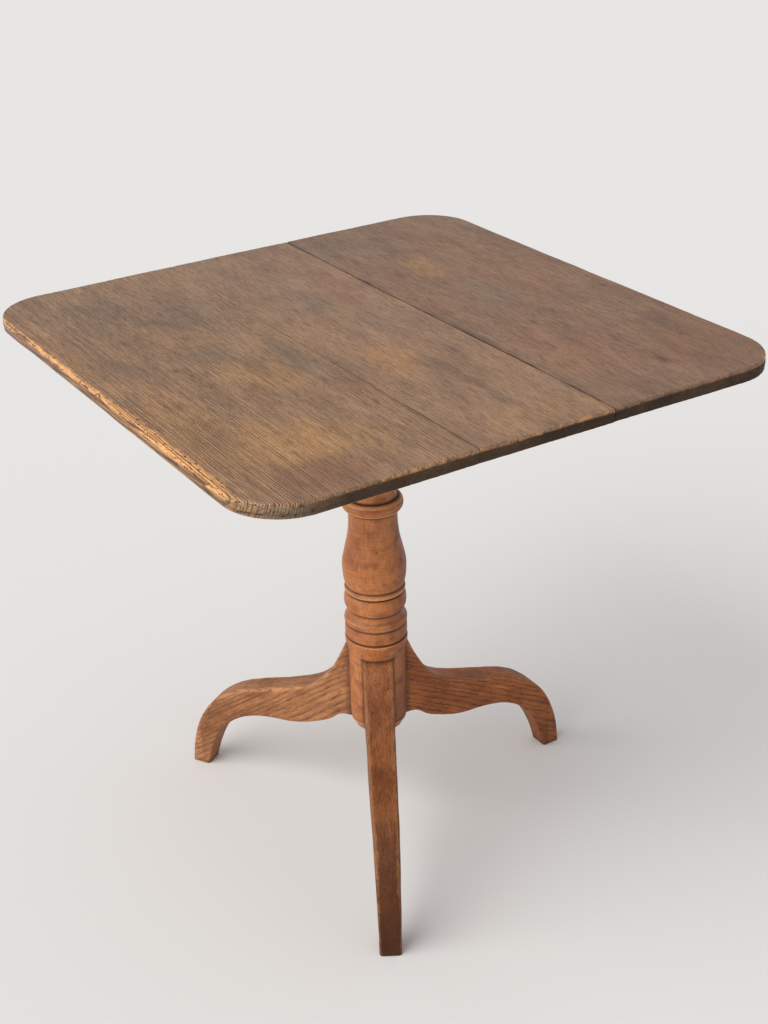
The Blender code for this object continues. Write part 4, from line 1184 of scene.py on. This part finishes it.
def ring_marks(points, names):
    """Dirt round the holes of these screws."""
    marks = np.zeros(len(points))
    for name in names:
        low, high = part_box(name)
        middle = (low + high) / 2
        away = np.hypot(points[:, 0] - middle.x, points[:, 1] - middle.y)
        marks = np.maximum(marks, blend(0.011, 0.004, away))
    return marks


def make_batten(label, finish, pin):
    name = "batten_" + label
    low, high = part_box(name)
    outline = [(low.x, high.z), (low.x, low.z + 0.022), (low.x + 0.050, low.z),
               (high.x - 0.050, low.z), (high.x, low.z + 0.022), (high.x, high.z)]
    piece = bar(name + "_planed", outline, low.y, high.y, "y")
    soften(piece, 0.0018)
    slice_across(piece, "x", low, high, 60)
    slice_across(piece, "z", low, high, 6)
    slice_across(piece, "y", low, high, 5)
    points = points_of(piece)
    x, y, z = points.T.copy()
    near = box_edges(points, low, high)
    free = blend(high.z - 0.002, high.z - 0.006, z)
    hewn = 0.00018 * (1 + ripple(x, y * 2, 0.024, 81)) + 0.0007 * near * np.clip(
        ripple(x, y * 4 + z * 4, 0.014, 82), 0, 1)
    z += hewn * (z < (low.z + high.z) / 2)
    y -= np.sign(y - (low.y + high.y) / 2) * hewn * 0.8 * free
    set_points(piece, np.stack((x, y, z), axis=1))
    screws = sorted(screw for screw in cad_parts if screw.startswith("batten_screw")
                    and low.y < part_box(screw)[0].y < high.y)
    screws.append("button_screw_" + label)
    for screw in screws:
        combine(piece, screw_recess(screw))
    pin_low, pin_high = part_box(pin)
    centre = ((pin_low.x + pin_high.x) / 2, (pin_low.z + pin_high.z) / 2)
    radius = (pin_high.z - pin_low.z) / 2 + FIT
    bore = bar("bore", arc_places(centre, radius, 0, 348.75, 31), low.y - 0.01, high.y + 0.01, "y")
    combine(piece, bore)
    points = points_of(piece)
    away = np.hypot(points[:, 0] - centre[0], points[:, 2] - centre[1])
    paint(piece, "edge", box_edges(points, low, high) * 0.8)
    grime = ring_marks(points, screws) * 0.7 + blend(0.022, 0.009, away) * 0.6
    grime += blend(0.006, 0.0, high.z - points[:, 2]) * 0.5
    paint(piece, "dirt_and_shade", np.clip(grime, 0, 1))
    close_up(piece, 35)
    return settle(piece, finish, "top", name)


def make_block(finish):
    low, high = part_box("hinge_block")
    pin_low, pin_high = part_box("hinge_pin_front")
    pivot = ((pin_low.x + pin_high.x) / 2, (pin_low.z + pin_high.z) / 2)
    nose = pivot[0] - low.x
    outline = arc_places(pivot, nose, 90, 270, 28)
    outline += [(high.x, low.z), (high.x, high.z)]
    piece = bar("hinge_block_sawn", outline, low.y, high.y, "y")
    soften(piece, 0.0016)
    slice_across(piece, "y", low, high, 14)
    slice_across(piece, "x", pivot, high, 18)
    slice_across(piece, "z", low, high, 5)
    points = points_of(piece)
    x, y, z = points.T.copy()
    near = box_edges(points, low, high)
    hewn = 0.00012 * (1 + ripple(x, y, 0.020, 85)) + 0.0006 * near * np.clip(
        ripple(x * 2 + z, y * 2, 0.012, 86), 0, 1)
    z -= np.sign(z - pivot[1]) * hewn
    y -= np.sign(y - (low.y + high.y) / 2) * hewn
    set_points(piece, np.stack((x, y, z), axis=1))
    socket = lathe("socket", [(TENON + FIT, low.z - 0.01), (TENON + FIT, high.z + 0.01)], 64)
    combine(piece, socket)
    for pin in ("hinge_pin_front", "hinge_pin_back"):
        start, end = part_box(pin)
        side = 1 if (start.y + end.y) / 2 > AXIS.y else -1
        inner = (start.y if side > 0 else end.y) - side * FIT
        outer = (high.y if side > 0 else low.y) + side * 0.01
        places = arc_places(pivot, (end.z - start.z) / 2 + FIT, 0, 348.75, 31)
        combine(piece, bar("bore", places, min(inner, outer), max(inner, outer), "y"))
    points = points_of(piece)
    paint(piece, "edge", box_edges(points, low, high) * 0.9)
    away = np.hypot(points[:, 0] - AXIS.x, points[:, 1] - AXIS.y)
    paint(piece, "dirt_and_shade", blend(0.030, 0.019, away) * 0.6)
    close_up(piece, 35)
    return settle(piece, finish, "base", "hinge_block")


def make_button(label, finish):
    """A turn button with round ends, worn where fingers push it."""
    name = "turn_button_" + label
    low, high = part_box(name)
    radius = (high.y - low.y) / 2
    middle = (low.y + high.y) / 2
    outline = arc_places((high.x - radius, middle), radius, -90, 90, 18)
    outline += arc_places((low.x + radius, middle), radius, 90, 270, 18)
    piece = bar(name + "_carved", outline, low.z, high.z)
    soften(piece, 0.0020, 4)
    slice_across(piece, "x", low, high, 24)
    slice_across(piece, "y", low, high, 8)
    points = points_of(piece)
    x, y, z = points.T.copy()
    screw_low, screw_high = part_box("button_screw_" + label)
    from_screw = np.hypot(x - (screw_low.x + screw_high.x) / 2, y - middle)
    hollow = 0.0005 * blend(0.010, 0.040, from_screw) * (1 + 0.5 * ripple(x, y, 0.012, 88))
    z += hollow * (z < low.z + MM)
    set_points(piece, np.stack((x, y, z), axis=1))
    combine(piece, screw_recess("button_screw_" + label))
    points = points_of(piece)
    from_screw = np.hypot(points[:, 0] - (screw_low.x + screw_high.x) / 2, points[:, 1] - middle)
    rim = blend(0.0035, 0.0005, np.minimum(points[:, 2] - low.z, high.z - points[:, 2]))
    paint(piece, "edge", rim * blend(0.006, 0.010, from_screw) * 0.9)
    paint(piece, "dirt_and_shade", blend(0.010, 0.005, from_screw) * 0.8)
    close_up(piece, 35)
    return settle(piece, finish, "button_" + label, name)


def make_pin(label, finish):
    """A whittled pin: round, with faint flats and eased ends."""
    name = "hinge_pin_" + label
    low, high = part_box(name)
    centre = ((low.x + high.x) / 2, (low.z + high.z) / 2)
    radius = (high.z - low.z) / 2
    places = []
    for i in range(36):
        angle = math.radians(i * 10)
        here = radius * (1 - 0.012 * (1 - math.cos(angle * 9)))
        places.append((centre[0] + here * math.cos(angle), centre[1] + here * math.sin(angle)))
    piece = bar(name + "_whittled", places, low.y, high.y, "y")
    soften(piece, 0.0006, 2)
    slice_across(piece, "y", low, high, 12)
    points = points_of(piece)
    ends = blend(0.0025, 0.0, np.minimum(points[:, 1] - low.y, high.y - points[:, 1]))
    paint(piece, "edge", ends * 0.6)
    paint(piece, "dirt_and_shade", ends * 0.5)
    close_up(piece, 40)
    return settle(piece, finish, "base", name)


# ------------------------------------------------------------------ everything together
# Each leg: its colour and its darker parts, how steeply the grain falls, and its looks.
LEG_LOOKS = {
    "leg_right": (rgb(0.475, 0.160, 0.052), rgb(0.313, 0.100, 0.034), 0.50,
                  {"low_shade": 0.45, "low_shade_to": 0.19, "rub": 0.25, "spacing": 0.0048, "heart": 0.07}),
    "leg_left": (rgb(0.392, 0.172, 0.074), rgb(0.262, 0.103, 0.041), 0.74,
                 {"low_shade": 0.16, "low_shade_to": 0.19, "rub": 0.60, "spacing": 0.0048, "heart": 0.07}),
    "leg_front": (rgb(0.385, 0.140, 0.051), rgb(0.235, 0.076, 0.025), 0.60,
                  {"low_shade": 0.95, "low_shade_to": 0.27, "rub": 0.32, "spacing": 0.0027, "heart": 0.0}),
}


def leg_directions(angle):
    turned = math.radians(angle)
    out = Vector((math.cos(turned), math.sin(turned), 0))
    side = Vector((-math.sin(turned), math.cos(turned), 0))
    return out, side


def make_table():
    left = board_finish(
        "left_board_oak", {"Spacing": 0.0025, "Heart X": 0.020, "Heart Z": 0.640, "Lean": 0.02,
                           "Waver": 0.008}, rgb(0.348, 0.200, 0.108), 1.00, 0.00045)
    middle = board_finish(
        "middle_board_oak", {"Spacing": 0.0021, "Heart X": -0.200, "Heart Z": 0.560, "Lean": 0.03,
                             "Waver": 0.016}, rgb(0.312, 0.182, 0.107), 0.40, 0.00030)
    right = board_finish(
        "right_board_oak", {"Spacing": 0.0023, "Heart X": 0.480, "Heart Z": 0.560, "Lean": 0.04,
                            "Waver": 0.024}, rgb(0.252, 0.143, 0.087), 0.30, 0.00026)
    for name, finish in zip(BOARDS, (left, middle, right)):
        make_board(name, finish)
    make_column(column_finish())
    for name, angle, shoulder in LEGS:
        ground, dark, fall, look = LEG_LOOKS[name]
        out, side = leg_directions(angle)
        along = out - Vector((0, 0, fall))
        finish = leg_finish(name + "_oak", along, side, ground, dark, **look)
        make_leg(name, angle, shoulder, finish)


def make_underside():
    """Battens, block, buttons and pins; the rest keep their solids and get a finish."""
    across = rough_oak_finish("batten_oak_old", (1, 0, 0), (0, 0, -1))
    lengthwise = rough_oak_finish("tongue_oak_old", (0, 1, 0), (0, 0, 1), rgb(0.230, 0.135, 0.075))
    block = rough_oak_finish("block_oak_old", (0, 1, 0), (1, 0, 0), rgb(0.190, 0.108, 0.060))
    pins = rough_oak_finish("pin_oak_old", (0, 1, 0), (0, 0, 1), rgb(0.160, 0.080, 0.042))
    wedge = rough_oak_finish("wedge_wood_old", (0, 0, 1), (1, 0, 0), rgb(0.260, 0.140, 0.070))
    iron = iron_finish()
    for label in ("front", "back"):
        make_batten(label, across, "hinge_pin_" + label)
        make_button(label, across)
        make_pin(label, pins)
    make_block(block)
    for name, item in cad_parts.items():
        if "screw" in name:
            wear_slot(item, iron)
        elif name.startswith("top_tongue"):
            wear_slot(item, lengthwise)
        elif name == "tenon_wedge":
            wear_slot(item, wedge)


# ------------------------------------------------------------------ room, light and camera
def make_floor():
    begin()
    bpy.ops.mesh.primitive_circle_add(vertices=96, radius=14, fill_type="NGON", location=(0, 0, -0.0005))
    floor = bpy.context.object
    floor.name = "floor"
    finish = bpy.data.materials.new("pale_floor")
    finish.use_nodes = True
    shader = finish.node_tree.nodes["Principled BSDF"]
    shader.inputs["Base Color"].default_value = rgb(0.80, 0.785, 0.765)
    shader.inputs["Roughness"].default_value = 0.9
    shader.inputs["Specular IOR Level"].default_value = 0.2
    floor.data.materials.append(finish)


SKY_STRENGTH = 0.58
BACKDROP_LIFT = 0.24       # how much brighter the empty background looks than it lights
WINDOW_STRENGTH = 2.6
WINDOW_SPREAD = 64         # degrees


def light_room():
    """A soft window from the left, and an even pale sky."""
    world = bpy.data.worlds.new("studio")
    bpy.context.scene.world = world
    world.use_nodes = True
    back = world.node_tree.nodes["Background"]
    back.inputs["Color"].default_value = rgb(0.96, 0.97, 1.0)
    lights = Sheet(world.node_tree)
    seen = lights.node("ShaderNodeLightPath").outputs["Is Camera Ray"]
    lift = lights.math("MULTIPLY_ADD", seen, BACKDROP_LIFT, SKY_STRENGTH)
    lights.put(back.inputs["Strength"], lift)
    sun = bpy.data.lights.new("window", "SUN")
    sun.energy = WINDOW_STRENGTH
    sun.angle = math.radians(WINDOW_SPREAD)
    sun.color = (1.0, 0.985, 0.96)
    lamp = bpy.data.objects.new("window", sun)
    bpy.context.scene.collection.objects.link(lamp)
    lamp.rotation_euler = Vector((0.836, -0.036, -0.547)).to_track_quat("-Z", "Y").to_euler()
    bpy.context.scene.view_settings.view_transform = "Standard"


def place_camera():
    """Above and to the left of the near corner, looking a little down."""
    data = bpy.data.cameras.new("camera")
    data.lens = 56.79
    data.sensor_width = 36
    data.clip_end = 60
    camera = bpy.data.objects.new("camera", data)
    bpy.context.scene.collection.objects.link(camera)
    yaw, pitch, roll = 0.5546872, 0.475476, -0.0277247
    ahead = Vector((math.sin(yaw) * math.cos(pitch), math.cos(yaw) * math.cos(pitch), -math.sin(pitch)))
    right = Vector((math.cos(yaw), -math.sin(yaw), 0))
    up = right.cross(ahead)
    tipped = math.cos(roll) * right + math.sin(roll) * up
    risen = -math.sin(roll) * right + math.cos(roll) * up
    turn = Matrix((tipped, risen, -ahead)).transposed()
    camera.matrix_world = Matrix.Translation((-0.98477, -1.61745, 1.447503)) @ turn.to_4x4()
    bpy.context.scene.camera = camera


place_camera()
light_room()
make_floor()
make_table()
make_underside()
